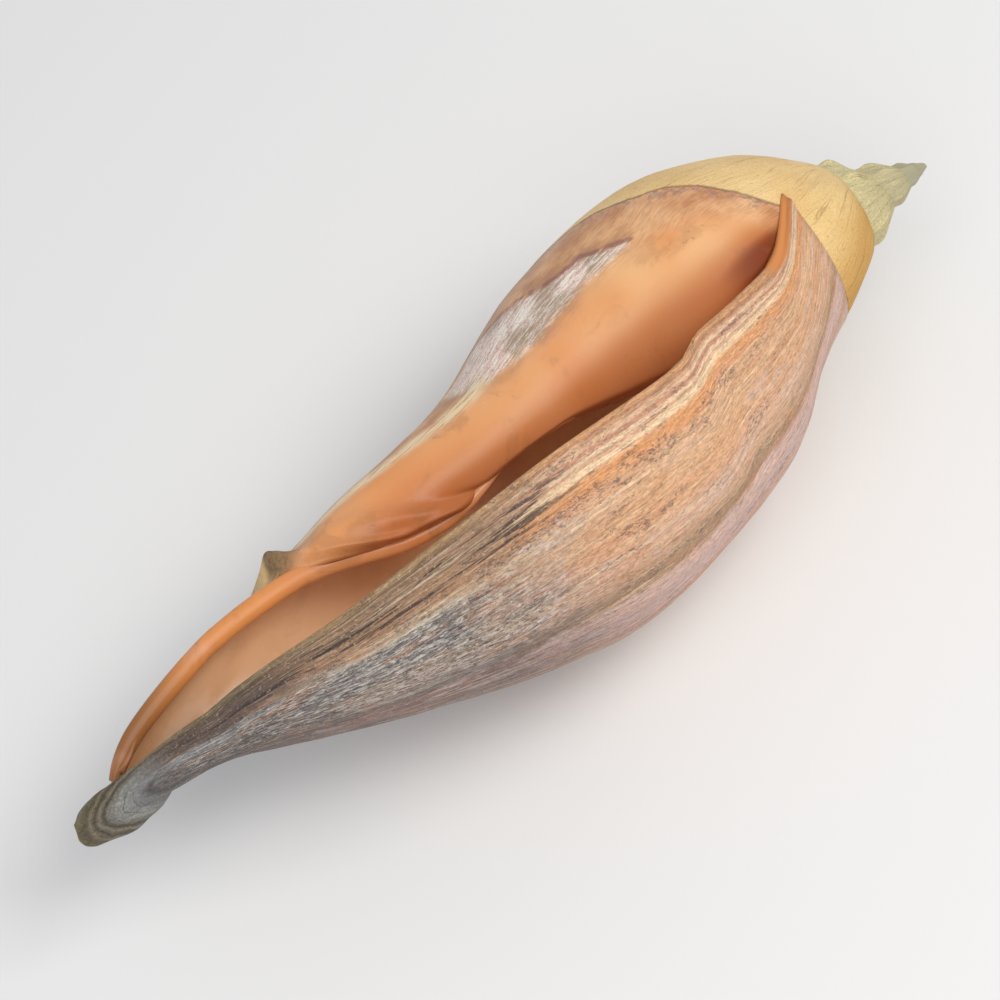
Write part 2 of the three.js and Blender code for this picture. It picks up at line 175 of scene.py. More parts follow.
# The fasciole ridge, by turn: its height, how far it stands out and the step under it. The columella's
# plait, fillet and crease lie above it
LINE_TURNS = (-1.3, -1.1, -0.98, -0.87, -0.78, -0.73, -0.66, -0.48, -0.23, 0, 0.17)
LINE_HEIGHT = Curve(LINE_TURNS, (-188, -213, -241, -261, -271, -274, -279, -302, -350, -362, -371))
LINE_OUT = Curve(LINE_TURNS, (0.6, 0.8, 1, 1, 2.8, 4.6, 3.4, 2.2, 0.8, 0.6, 0))
LINE_DROP = Curve(LINE_TURNS, (3, 3, 3, 3, 2.6, 2.6, 2.4, 1.5, 0, 0, 0))
PLAIT_OUT = Curve(LINE_TURNS, (0, 2.0, 2.9, 2.1, 0.6, 0, 0, 0, 0, 0, 0))
FILLET_HEIGHT = Curve((-1.12, -1.03, -0.994, -0.921, -0.86), (-203, -218, -236, -258, -268))
CREASE_HEIGHT = Curve((-1.1, -1.036, -0.991, -0.944, -0.883, -0.82), (-193, -202, -212, -221, -231, -240))

# Low swellings and hollows that bring the outline to the photograph's, by height. Most numbers are the
# distances between the two outlines as a program printed them, rounded
SPIRE_FIT = Curve((0, -2, -6, -12, -20, -28, -36), (0.5, 1.0, 1.5, 1.2, 0.7, 0, 0))
LEFT_FIT = Curve(
    (-30, -36, -44, -52, -60, -76, -92, -108, -124, -132, -140, -148, -156, -164, -172, -180)
    + (-188, -196, -204, -212, -228, -236, -244, -252, -260, -268, -276, -284, -292, -300)
    + (-308, -316, -324, -332, -344, -352, -360),
    (-0.4, -0.75, -1.2, 0.3, 1.5, 1.3, 0.8, 0, 0, 0.3, 0.55, 1.35, 1.9, 1.7, 1.25, 0.6)
    + (0.1, 0.5, 1.1, 2.1, 2.8, 3.0, 2.6, 1.6, 0, -1.2, -1.8, -2.9, -2.7, -1.9)
    + (-1.05, -0.8, 0.1, 0.6, 0.0, -1.5, -2.5),
)
RIGHT_FIT = Curve(
    (-60, -68, -76, -84, -92, -100, -108, -116, -124, -132, -140, -148, -156, -164, -172)
    + (-180, -188, -196, -204, -212, -252, -260, -268, -296, -304, -312, -320, -328, -338, -350),
    (-0.5, -1.0, -1.65, -1.2, 0, 1.4, 1.8, 1.25, 0.5, -0.6, -1.3, -1.65, -1.4, -0.8, 0)
    + (0.8, 1.3, 1.5, 1.05, 0.8, 0.8, 1.2, 1.7, 1.7, 1.2, 0.6, -0.5, -1.0, -0.6, 0),
)
TIP_FIT = Curve((-338, -350, -360, -370, -379), (0, 2.0, 4.4, 4.8, 2.4))
BACK_FIT = Curve((-352, -364, -372, -379), (0, 1.0, 0.8, -1.2))

# How far to the right the columella may reach, by height
LIMIT_RIGHT = Curve(
    (-90, -105, -120, -136, -144, -157, -170, -183, -196, -202, -208, -217, -223, -234, -245, -256),
    (70, 30, 14, 8.5, 7, 4, 1.8, 2, 3.4, 4.5, 5.5, 6, 5.5, 4, 1, -2),
)

# The siphonal fold: points of its middle line from the columella down, and its radius at each. They were
# read off the photograph, and a program turned them into millimetres
CORD_RIGHT = (0.2, 3.2, 5.6, 6.5, 6.0, 4.2, 0.2, -3.6, -6.4, -7.3, -7.2, -6.8)
CORD_RIGHT += (-5.9, -2.7, 0.9, 4.9, 10.2, 13.8)
CORD_BACK = (-9.0, -11.0, -11.0, -10.5, -9.9, -9.5, -8.4, -7.2, -6.2, -5.2, -3.2, -1.7)
CORD_BACK += (0.9, 3.3, 5.7, 8.3, 10.4, 11.3)
CORD_UP = (-190.0, -200.5, -210.0, -217.8, -225.8, -236.9, -246.9, -256.6, -267.1, -278.2, -290.2, -298.4)
CORD_UP += (-307.9, -321.6, -334.3, -345.8, -354.5, -358.2)
CORD_RADIUS = (1.2, 1.6, 2.0, 2.4, 2.7, 2.9, 3.2, 3.6, 3.7, 3.7, 3.7, 3.6, 3.6, 3.6, 3.5, 3.3, 2.9, 2.2)

# The columella, by height: how far right and back its middle lies, and its radius
PILLAR_HEIGHTS = (-110, -136, -150, -170, -190, -205, -218, -235, -252, -268, -285)
PILLAR_RIGHT = Curve(PILLAR_HEIGHTS, (-1, -2, -4.5, -7, -7, -5.5, -5, -6, -8, -9.5, -9.5))
PILLAR_BACK = Curve(PILLAR_HEIGHTS, (0, 0, 0, 0, 0, 0.5, 1, 2, 2, 1.5, 1.5))
PILLAR_RADIUS = Curve(PILLAR_HEIGHTS, (8, 7.5, 7.5, 7, 7.5, 8, 8.5, 7.5, 6, 4, 2))

# Rests of growth: millimetres back from the lip, and how far each stands out
RESTS = ((22, 0.25), (29, -0.2), (38, 0.3), (47, 0.35), (66, 0.35), (75, -0.25), (84, 0.3), (97, 0.25))
RESTS += ((112, -0.3), (131, 0.35), (150, 0.25), (172, -0.3), (196, 0.4), (224, 0.3), (251, 0.35))

# Lines drawn on the whorl, as turns and heights: the glaze's edge, and where the glaze is thick. Most
# points here and in the mauve line were picked on the photograph and placed by a program
EDGE: Line = (
    (-1.5, -1.3, -0.933, -0.914, -0.878, -0.841, -0.813, -0.799, -0.774, -0.757, -0.725)
    + (-0.70, -0.683, -0.69, -0.70, -0.715, -0.735, -0.765, -0.80, -1.5),
    (-60, -62, -64.5, -69, -75, -83, -91, -98, -107, -112, -125)
    + (-143, -170, -200, -230, -255, -266, -269, -290, -300),
)
CALLUS: Line = (
    (-1.5, -1.3, -0.94, -0.905, -0.89, -0.875, -0.86, -0.851, -0.848, -0.846, -0.849)
    + (-0.836, -0.822, -0.79, -0.775, -0.765, -0.77, -0.79, -0.83, -0.90, -1.5),
    (-60, -64, -70, -80, -88, -97, -108, -117, -137, -156, -164)
    + (-174, -181, -189, -205, -228, -248, -258, -267, -300, -300),
)

# The mauve line, the rest of the worn patch's edge, the cream streak and the pale fasciole
MAUVE: Line = (
    (-0.842, -0.822, -0.805, -0.797, -0.784, -0.760, -0.732, -0.704, -0.684),
    (-116, -126, -131, -140, -148, -154, -162, -170, -178),
)
PATCH: Line = (
    (*MAUVE[0], -0.69, -0.74, -0.79, -0.822, -0.836, -0.849, -0.846, -0.848, -0.851),
    (*MAUVE[1], -192, -193, -188, -181, -174, -164, -156, -137, -117),
)
CREAM: Line = ((-0.80, -0.775, -0.755, -0.75), (-186, -215, -240, -262))
FASCIOLE: Line = ((-0.72, -0.76, -0.81, -0.835), (-275, -273.5, -270, -268))


@dataclass
class Growth:
    """How the whorl grows, in the shell's own frame: millimetres, coil axis along Z, apex at height 0.

    Growth is counted in turns: 0 is the outer lip, -1 one turn earlier."""

    early_turn: float = STAGE_TURNS[0]
    length_gain: float = 2.0
    radius_gain: float = 2.35
    lip_azimuth: float = 7.0
    knobs_per_turn: int = 9
    knob_height: float = 0.115
    knob_power: float = 1.8
    riblet_height: float = 0.1
    knob_fade_turn: float = -1.28
    pinch_length: float = 16.0
    ridge_turn: float = -0.725
    ridge_width: float = 3.6
    fillet_height: float = 1.5
    crease_depth: float = 2.0
    limit_rounding: float = 3.5
    least_radius: float = 1.5

    def stage(self, turn: Array) -> dict[str, Array]:
        """The whorl's measures; the early whorls are scaled copies of one another.

        Args:
            turn: Turns of growth.

        Returns:
            The measures by name.
        """
        back = np.minimum(turn - self.early_turn, 0.0)
        found = {key: curve(turn) for key, curve in STAGES.items()}
        for key in LENGTHS_THAT_SCALE:
            found[key] = found[key] * self.length_gain**back
        found["radius"] = found["radius"] * self.radius_gain**back
        return found

    @staticmethod
    def shoulder_rise(stage: dict[str, Array], share: Array) -> Array:
        """Rise from suture radius to widest radius, by share of the drop to the shoulder."""
        return np.sin(0.5 * np.pi * np.clip(share, 0, 1)) ** stage["round"]

    def suture_radius(self, turn: Array) -> Array:
        """Radius of the suture: the whorl sits on the one before it.

        Args:
            turn: Turns of growth.

        Returns:
            The radii.
        """
        flat = np.asarray(turn, float).ravel()
        found = np.empty_like(flat)
        early = flat < self.early_turn
        if early.any():
            now, before = self.stage(flat[early]), self.stage(flat[early] - 1)
            share = (before["suture"] - now["suture"]) / before["shoulder"]
            rise = self.shoulder_rise(before, share)
            found[early] = now["radius"] * rise / (self.radius_gain - 1 + rise)
        if not early.all():
            late = flat[~early]
            found[~early] = self.smooth_radius(late - 1, self.stage(late)["suture"])
        return found.reshape(np.shape(turn))

    def smooth_radius(self, turn: Array, height: Array) -> Array:
        """Outer radius without its ornament.

        Args:
            turn: Turns of growth.
            height: Heights on the axis.

        Returns:
            The radii.
        """
        turn, height = np.broadcast_arrays(np.asarray(turn, float), np.asarray(height, float))
        stage = self.stage(turn)
        drop = stage["suture"] - height
        seat = self.suture_radius(turn) / stage["radius"]
        upper = seat + (1 - seat) * self.shoulder_rise(stage, drop / stage["shoulder"])
        share = np.clip((drop - stage["shoulder"]) / stage["taper"], 0, 1)
        fall = np.maximum(np.cos(0.5 * np.pi * share), 0) ** stage["power"]
        end = -stage["end"]
        rounding = 1 - stage["pinch"] * smoothstep(-height, end - self.pinch_length, end)
        lower = (stage["neck"] + (1 - stage["neck"]) * fall) * rounding
        return stage["radius"] * np.where(drop < stage["shoulder"], upper, lower)

    def knobs(self, turn: Array, height: Array) -> Array:
        """How far the knobs on the spire's shoulder, and the riblets between them, stand out.

        Args:
            turn: Turns of growth.
            height: Heights on the axis.

        Returns:
            Millimetres.
        """
        stage = self.stage(turn)
        reach = np.maximum(stage["suture"] - self.stage(turn + 1)["suture"], 1e-6)
        band = np.clip((stage["suture"] - height) / reach, 0, 1)
        angle = 2 * np.pi * self.knobs_per_turn * turn
        peak = np.clip(1.05 - np.sqrt(np.sin(0.5 * angle) ** 2 + 0.0036), 0, 1) ** self.knob_power
        peak = peak * np.sin(np.pi * band**1.25) ** self.knob_power
        riblets = self.riblet_height * np.cos(angle * 3 + 0.9 * np.sin(angle * 0.7))
        riblets = riblets * np.sin(np.pi * band) ** 0.7
        fade = 1 - smoothstep(turn, self.knob_fade_turn - 0.2, self.knob_fade_turn)
        fade = fade * smoothstep(turn, -4.6, -3.8)
        return self.knob_height * stage["radius"] * fade * (peak + riblets)

    def folds(self, turn: Array, height: Array) -> Array:
        """How far the fasciole ridge, and the columella's folds and crease, stand out.

        Args:
            turn: Turns of growth.
            height: Heights on the axis.

        Returns:
            Millimetres.
        """
        above = height - LINE_HEIGHT(turn)
        knob = bump(turn - self.ridge_turn, 0.035)
        width = self.ridge_width - np.where(above > 0, 1.0, 1.9) * knob
        ridge = LINE_OUT(turn) * bump(above, width) + 1.2 * knob * bump(above, 2.4)
        ridge = ridge - LINE_DROP(turn) * smoothstep(-above, -1, 5)
        below = CREASE_HEIGHT(turn) - height
        span = smoothstep(turn, -1.22, -1.06) * (1 - smoothstep(turn, -0.97, -0.80))
        plait = PLAIT_OUT(turn) * bump(below - 16, 10) + 0.9 * span * bump(below - 11, 6)
        beside = smoothstep(turn, -1.12, -1.0) * (1 - smoothstep(turn, -0.91, -0.85))
        plait = plait + self.fillet_height * beside * bump(height - FILLET_HEIGHT(turn), 7)
        crease = self.crease_depth * span * (1 - smoothstep(turn, -1.04, -0.95)) * bump(below, 3.4)
        return np.where(turn < LINE_TURNS[0], 0.0, ridge + plait - crease)

    def outer_radius(self, turn: Array, height: Array) -> Array:
        """Outer radius with its ornament."""
        bare = self.held(self.smooth_radius(turn, height) + self.fit(turn, height), turn, height)
        return bare + (self.knobs(turn, height) + self.folds(turn, height))

    def held(self, radius: Array, turn: Array, height: Array) -> Array:
        """Holds the columella's right side in, where the aperture shows past it.

        Args:
            radius: Outer radii.
            turn: Turns of growth.
            height: Heights on the axis.

        Returns:
            The radii, smaller where they would reach too far to the right.
        """
        side = np.maximum(np.sin(self.azimuth(turn)), 0.02)
        limit = np.maximum(LIMIT_RIGHT(height) - BEND_RIGHT(height), self.least_radius) / side
        within = (turn < -0.9) & (turn > -1.5)
        excess = np.exp(-np.abs(radius - limit) / self.limit_rounding)
        soft = np.minimum(radius, limit) - self.limit_rounding * np.log1p(excess)
        return np.where(within, np.maximum(soft, self.least_radius), radius)

    def fit(self, turn: Array, height: Array) -> Array:
        """How far the low swellings stand out, left and right of the aperture and on the spire.

        Args:
            turn: Turns of growth.
            height: Heights on the axis.

        Returns:
            Millimetres.
        """
        azimuth = self.azimuth(turn)
        side = np.sin(azimuth)
        left = np.maximum(-side, 0) ** 2 * smoothstep(turn, -1.15, -0.95) * LEFT_FIT(height)
        right = np.maximum(side, 0) ** 2 * smoothstep(turn, -0.7, -0.45) * RIGHT_FIT(height)
        tip = np.maximum(np.cos(azimuth + math.radians(60)), 0) * TIP_FIT(height)
        back = np.maximum(np.cos(azimuth - math.radians(110)), 0) * BACK_FIT(height)
        end = smoothstep(turn, -0.5, -0.35) * (tip + back)
        return left + right + end + (1 - smoothstep(turn, -1.6, -1.35)) * SPIRE_FIT(height)

    def azimuth(self, turn: Array) -> Array:
        """Direction of growth at a turn: angles from the front towards the right, in radians."""
        return math.radians(self.lip_azimuth) - 2 * np.pi * turn

    def place(self, radius: Array, azimuth: Array, height: Array) -> Array:
        """Points about the bent axis; the upper whorls lean with it.

        Args:
            radius: Distances from the axis.
            azimuth: Angles from the front towards the right.
            height: Heights on the axis.

        Returns:
            The points, with a last dimension of 3.
        """
        slope_right, slope_front = (
            (bend(height + 1) - bend(height - 1)) / 2 for bend in (BEND_RIGHT, BEND_FRONT)
        )
        right = radius * np.sin(azimuth)
        front = radius * np.cos(azimuth)
        lean = (slope_right * right + slope_front * front) * smoothstep(height, -200, -120)
        spots = (BEND_RIGHT(height) + right, -BEND_FRONT(height) - front, height - lean)
        return np.stack(spots, -1)


@dataclass
class Lie:
    """How the shell's own frame lies in the row frame."""

    up_azimuth: float = -30.0
    apex_rise: float = -3.25
    apex_place: Triple = (189.776, 9.765, 56.978)

    def __post_init__(self) -> None:
        """Prepares the rotation, the same as the CAD's."""
        about_y = Matrix.Rotation(math.radians(90 - self.apex_rise), 3, "Y")
        about_z = Matrix.Rotation(math.radians(-90 - self.up_azimuth), 3, "Z")
        self.rotation = about_y @ about_z

    def direction(self, vector: Vector) -> Vector:
        """A direction of the shell's frame, in the row frame."""
        return self.rotation @ vector

    def points(self, points: Array) -> Array:
        """Points of the shell's frame in millimetres, in the row frame in metres."""
        return (points @ np.array(self.rotation).T + np.array(self.apex_place)) * MM


@dataclass
class Patchwork:
    """Collects grids of points, with their attributes, into one mesh."""

    points: list[Array] = field(default_factory=list)
    quads: list[Array] = field(default_factory=list)
    values: dict[str, list[Array]] = field(default_factory=dict)
    count: int = 0

    def add(self, grid: Array, part: Part, wrap: bool, **values: Array | float) -> None:
        """Adds a grid.

        Args:
            grid: Points of shape (columns, rows, 3).
            part: The stretch of surface that it belongs to.
            wrap: Whether the last row joins the first.
            **values: One value a point, or one for all, by attribute name.
        """
        columns, rows = grid.shape[:2]
        index = self.count + np.arange(columns * rows).reshape(columns, rows)
        if wrap:
            index = np.concatenate([index, index[:, :1]], 1)
        corners = (index[:-1, :-1], index[1:, :-1], index[1:, 1:], index[:-1, 1:])
        self.quads.append(np.stack(corners, -1).reshape(-1, 4))
        self.points.append(grid.reshape(-1, 3))
        self.count += columns * rows
        for name, value in {**values, "part": part.value}.items():
            spread = np.broadcast_to(np.asarray(value, float), (columns, rows))
            self.values.setdefault(name, []).append(spread.reshape(-1))

    def joined(self) -> tuple[Array, Array, dict[str, Array]]:
        """All grids as one: the points, the quads and the attributes by name."""
        values = {name: np.concatenate(parts) for name, parts in self.values.items()}
        return np.concatenate(self.points), np.concatenate(self.quads), values


@dataclass
class Walls:
    """The shell's surfaces, as grids in the shell's own frame."""

    growth: Growth
    work: Patchwork = field(default_factory=Patchwork)
    wall: float = 3.2
    posterior_lip_wall: float = 5.0
    lip_wall: float = 1.9
    suture_step: float = 1.0
    suture_root: float = 1.5
    least_wall: float = 1.5
    innermost: float = 1.2
    edge_turn: float = -0.76
    cavity_end_turn: float = -1.3
    core_turn: float = -2.3
    apex_turn: float = -7.5
    late_turn: float = -0.12
    end_below_line: float = 5.0
    posterior_flare: float = 3.6
    bevel_depth: float = 2.6
    rest_width: float = 2.6
    first_fold: float = 6.3
    fold_spacing: float = 4.9
    fold_depth: float = 0.32
    groove_back: float = 57.0
    groove_bend: float = 16.0
    groove_depth: float = 0.9
    pillar_top: float = -62.0
    pillar_length: float = 317.0
    pillar_sides: int = 40
    pillar_turn: float = -1.0
    cord_turn: float = -0.8
    cord_flatness: float = 0.8

    @staticmethod
    def share(stage: dict[str, Array], height: Array) -> Array:
        """Share of the way from the suture to the anterior end, by height."""
        return (stage["suture"] - height) / (stage["suture"] - stage["end"])

    def row_height(self, turn: Array, v: Array, end: Array) -> Array:
        """Heights of the wall's rows, closer together towards the notch line.

        Args:
            turn: Turns of growth.
            v: 0 at the suture, 1 at the notch line, 2 at the end.
            end: Height of the end.

        Returns:
            The heights.
        """
        suture = self.growth.stage(turn)["suture"]
        line = LINE_HEIGHT(turn)
        above = suture + (line - suture) * (v + 0.13 * np.sin(np.pi * v) * v)
        w = v - 1
        below = line + (end - line) * (w - 0.2 * np.sin(np.pi * w) * (1 - w))
        return np.where(v <= 1, above, below)

    def rings(
        self, steps: Array, outside: Array, inside: Array, end_of: Callable[[Array], Array], edge: Array
    ) -> tuple[Array, dict[str, Array]]:
        """Closed rings of the hollow wall: down the outside, and up the inside.

        Args:
            steps: Turn of each ring, before the lip's lead.
            outside: Rows of the outside, as row_height takes them.
            inside: Rows of the inside, likewise.
            end_of: Height of the wall's end at a turn.
            edge: How far round the rounded lip each ring is, in radians: 0 on the wall, a quarter turn
                at its edge.

        Returns:
            The rings' points, and their attributes.
        """
        growth = self.growth
        rows = np.concatenate([outside, inside[::-1]])
        hollow = np.concatenate([np.zeros_like(outside), np.ones_like(inside)])
        step, row = np.meshgrid(steps, rows, indexing="ij")
        edge = edge[:, None]
        share = self.share(growth.stage(step), self.row_height(step, row, end_of(step)))
        weight = smoothstep(step, -0.25, 0)
        lead = LIP_LEAD(share)
        turn = step + weight * lead
        thick = self.thickness(turn - weight * lead, share)
        round_radius = np.maximum(growth.smooth_radius(turn, self.row_height(turn, row, end_of(turn))), 10)
        half_turn = 0.5 * thick / (2 * np.pi * round_radius)
        turn = turn + half_turn * np.sin(edge)
        height = self.row_height(turn, row, end_of(turn))
        age = step + half_turn * np.sin(edge) - (1 - weight) * lead
        out = growth.outer_radius(turn, height) + self.collar(age, share)
        smooth = growth.smooth_radius(turn, height) + growth.fit(turn, height)
        seat = growth.outer_radius(turn - 1, height) - self.suture_root
        seated = height > growth.stage(turn - 1)["end"]
        root = np.where(seated, np.minimum(seat, out - self.suture_step), 0)
        drop = LINE_DROP(turn) * smoothstep(LINE_HEIGHT(turn) - height, -8, 12)
        within = np.minimum(smooth - drop, out + thick - self.least_wall) - thick
        inner = np.maximum(np.maximum(within, root), self.innermost)
        middle, half = 0.5 * (out + inner), 0.5 * (out - inner) * np.maximum(np.cos(edge), 0.02)
        radius = np.where(hollow > 0, middle - half, middle + half)
        values = {"age": age, "share": share, "turn": turn, "height": height, "inside": hollow}
        return growth.place(radius, growth.azimuth(turn), height), values

    def collar(self, age: Array, share: Array) -> Array:
        """How far the wall stands out beside the suture, with the bevel and the folds along the lip.

        Args:
            age: Turns of growth before the lip, along a growth line.
            share: 0 at the suture, 1 at the anterior end.

        Returns:
            Millimetres.
        """
        length = -age * AGE_LENGTH
        beside = 1 - smoothstep(share, 0, 0.15)
        back = 1 - smoothstep(-age, 0.0, 0.035)
        high = 1 - smoothstep(share, 0.02, 0.22)
        bevel = 1 - smoothstep(-age, 0.0, 0.0105)
        step = self.suture_step * beside + self.posterior_flare * back * high
        rests = sum(depth * bump(length - at, self.rest_width) for at, depth in RESTS)
        folded = np.cos(2 * np.pi * (length - self.first_fold) / self.fold_spacing)
        folded = folded * smoothstep(length, 1.5, 4) * (1 - smoothstep(length, 12, 17))
        folded = self.fold_depth * folded * (1 - smoothstep(share, 0.35, 0.6))
        bend = self.groove_bend * (1 - smoothstep(share, 0.1, 0.24))
        groove = self.groove_depth * bump(length - self.groove_back - bend, 3.2)
        groove = groove * smoothstep(share, 0.1, 0.18) * (1 - smoothstep(share, 0.55, 0.75))
        away = smoothstep(share, 0.03, 0.12) * (1 - smoothstep(share, 0.8, 0.95))
        return step - self.bevel_depth * bevel * high + (rests + folded) * away - groove

    def thickness(self, step: Array, share: Array) -> Array:
        """Thickness of the wall: thick at the back end of the lip, thin along the rest of it.

        Args:
            step: Turns of growth before the lip.
            share: 0 at the suture, 1 at the anterior end.

        Returns:
            Millimetres.
        """
        near_suture = smoothstep(step, -0.1, 0) * (1 - smoothstep(share, 0.02, 0.2))
        thinned = smoothstep(step, -0.04, 0) * smoothstep(share, 0.12, 0.3)
        thinned = np.maximum(thinned, (1 - smoothstep(step, -0.72, -0.6)) * smoothstep(share, 0.8, 0.92))
        plain = self.wall + (self.posterior_lip_wall - self.wall) * near_suture
        return plain - (self.wall - self.lip_wall) * thinned

    def add_whorls(self, turns: Array, bands: Array, hidden: bool) -> None:
        """Adds early whorls: outside, from suture to suture, or what shows of them from the hollow.

        Args:
            turns: Turns of growth.
            bands: 0 at the top of the band, 1 at its foot.
            hidden: Whether it is what shows from the hollow.
        """
        turn, band = np.meshgrid(turns, bands, indexing="ij")
        stage = self.growth.stage(turn)
        following = self.growth.stage(turn + 1)["suture"]
        top, foot = (following, stage["end"]) if hidden else (stage["suture"], following)
        height = top + (foot - top) * band
        points = self.growth.place(self.growth.outer_radius(turn, height), self.growth.azimuth(turn), height)
        values = {"age": turn, "turn": turn, "height": height, "share": self.share(stage, height)}
        self.work.add(points, Part.SPIRE, False, inside=float(hidden), **values)

    def add_spire(self) -> None:
        """Adds the spire, and what shows of it from inside the hollow."""
        turns = self.apex_turn + (self.cavity_end_turn - self.apex_turn) * np.linspace(0, 1, 700) ** 0.62
        self.add_whorls(turns, np.linspace(0, 1.06, 32), False)
        turns = np.linspace(self.core_turn, self.cavity_end_turn, 40)
        self.add_whorls(turns, np.linspace(0, 1, 12), True)

    def inner_end(self, turn: Array) -> Array:
        """Height at which the inner stretch of the wall ends."""
        return LINE_HEIGHT(turn) - self.end_below_line

    def outer_end(self, turn: Array) -> Array:
        """Height at which the outer stretch of the wall ends."""
        return self.growth.stage(turn)["end"]

    def add_inner_wall(self) -> None:
        """Adds the inner stretch of the wall, which ends on the columella."""
        outside = np.concatenate([np.linspace(0, 1, 104), np.linspace(1, 2, 7)[1:]])
        inside = np.linspace(0, 2, 26)
        steps = np.linspace(self.cavity_end_turn, self.edge_turn, 150)
        points, values = self.rings(steps, outside, inside, self.inner_end, np.zeros_like(steps))
        self.work.add(points, Part.INNER_WALL, True, **values)

    def add_outer_wall(self) -> None:
        """Adds the outer stretch of the wall, up to the rounded lip."""
        outside = np.concatenate([np.linspace(0, 1, 96), np.linspace(1, 2, 40)[1:]])
        inside = np.concatenate([np.linspace(0, 1, 40), np.linspace(1, 2, 18)[1:]])
        early = np.linspace(self.edge_turn, self.late_turn, 150)
        late = np.linspace(self.late_turn, 0, 62)[1:]
        edge = np.radians(np.array([18, 36, 54, 72, 90]))
        steps = np.concatenate([np.full(len(edge), self.edge_turn), early, late, np.zeros(len(edge))])
        edges = np.concatenate([-edge[::-1], np.zeros(len(early) + len(late)), edge])
        points, values = self.rings(steps, outside, inside, self.outer_end, edges)
        self.work.add(points, Part.OUTER_WALL, True, **values)

    def add_pillar(self, points: Array, height: Array, turn: float, part: Part) -> None:
        """Adds a closed grid inside the aperture, which has no turns of its own."""
        share = (self.pillar_top - height) / self.pillar_length
        self.work.add(points, part, True, age=turn, share=share, turn=turn, height=height, inside=1.0)

    def add_columella(self) -> None:
        """Adds the columella, a tapering pillar that ends in the siphonal fold."""
        angles = np.linspace(0, 2 * np.pi, self.pillar_sides + 1)[:-1]
        heights = np.linspace(PILLAR_HEIGHTS[0], PILLAR_HEIGHTS[-1], 70)
        height, angle = np.meshgrid(heights, angles, indexing="ij")
        right = PILLAR_RIGHT(height) + PILLAR_RADIUS(height) * np.sin(angle)
        back = PILLAR_BACK(height) - PILLAR_RADIUS(height) * np.cos(angle)
        points = self.growth.place(np.hypot(right, back), np.arctan2(right, -back), height)
        self.add_pillar(points, height, self.pillar_turn, Part.COLUMELLA)

    def add_siphonal_fold(self) -> None:
        """Adds the rounded cord that runs out of the aperture and edges the canal."""
        centre = np.array([CORD_RIGHT, CORD_BACK, CORD_UP], float).T
        path, radius = smooth_path(centre, np.array(CORD_RADIUS, float), 130)
        ahead = np.gradient(path, axis=0)
        ahead /= np.linalg.norm(ahead, axis=1)[:, None]
        front = np.array([0.0, -1.0, 0.0])
        facing = front - ahead * (ahead @ front)[:, None]
        facing /= np.linalg.norm(facing, axis=1)[:, None]
        aside = np.cross(ahead, facing)
        angle = np.linspace(0, 2 * np.pi, self.pillar_sides + 1)[:-1]
        spread = np.cos(angle)[None, :, None] * facing[:, None] * self.cord_flatness
        spread = spread + np.sin(angle)[None, :, None] * aside[:, None]
        points = path[:, None] + radius[:, None, None] * spread
        self.add_pillar(points, points[..., 2], self.cord_turn, Part.FOLD)

    def build(self) -> tuple[Array, Array, dict[str, Array]]:
        """Adds every surface of the shell.

        Returns:
            The points, the quads and the attributes by name.
        """
        self.add_spire()
        self.add_inner_wall()
        self.add_outer_wall()
        self.add_columella()
        self.add_siphonal_fold()
        return self.work.joined()


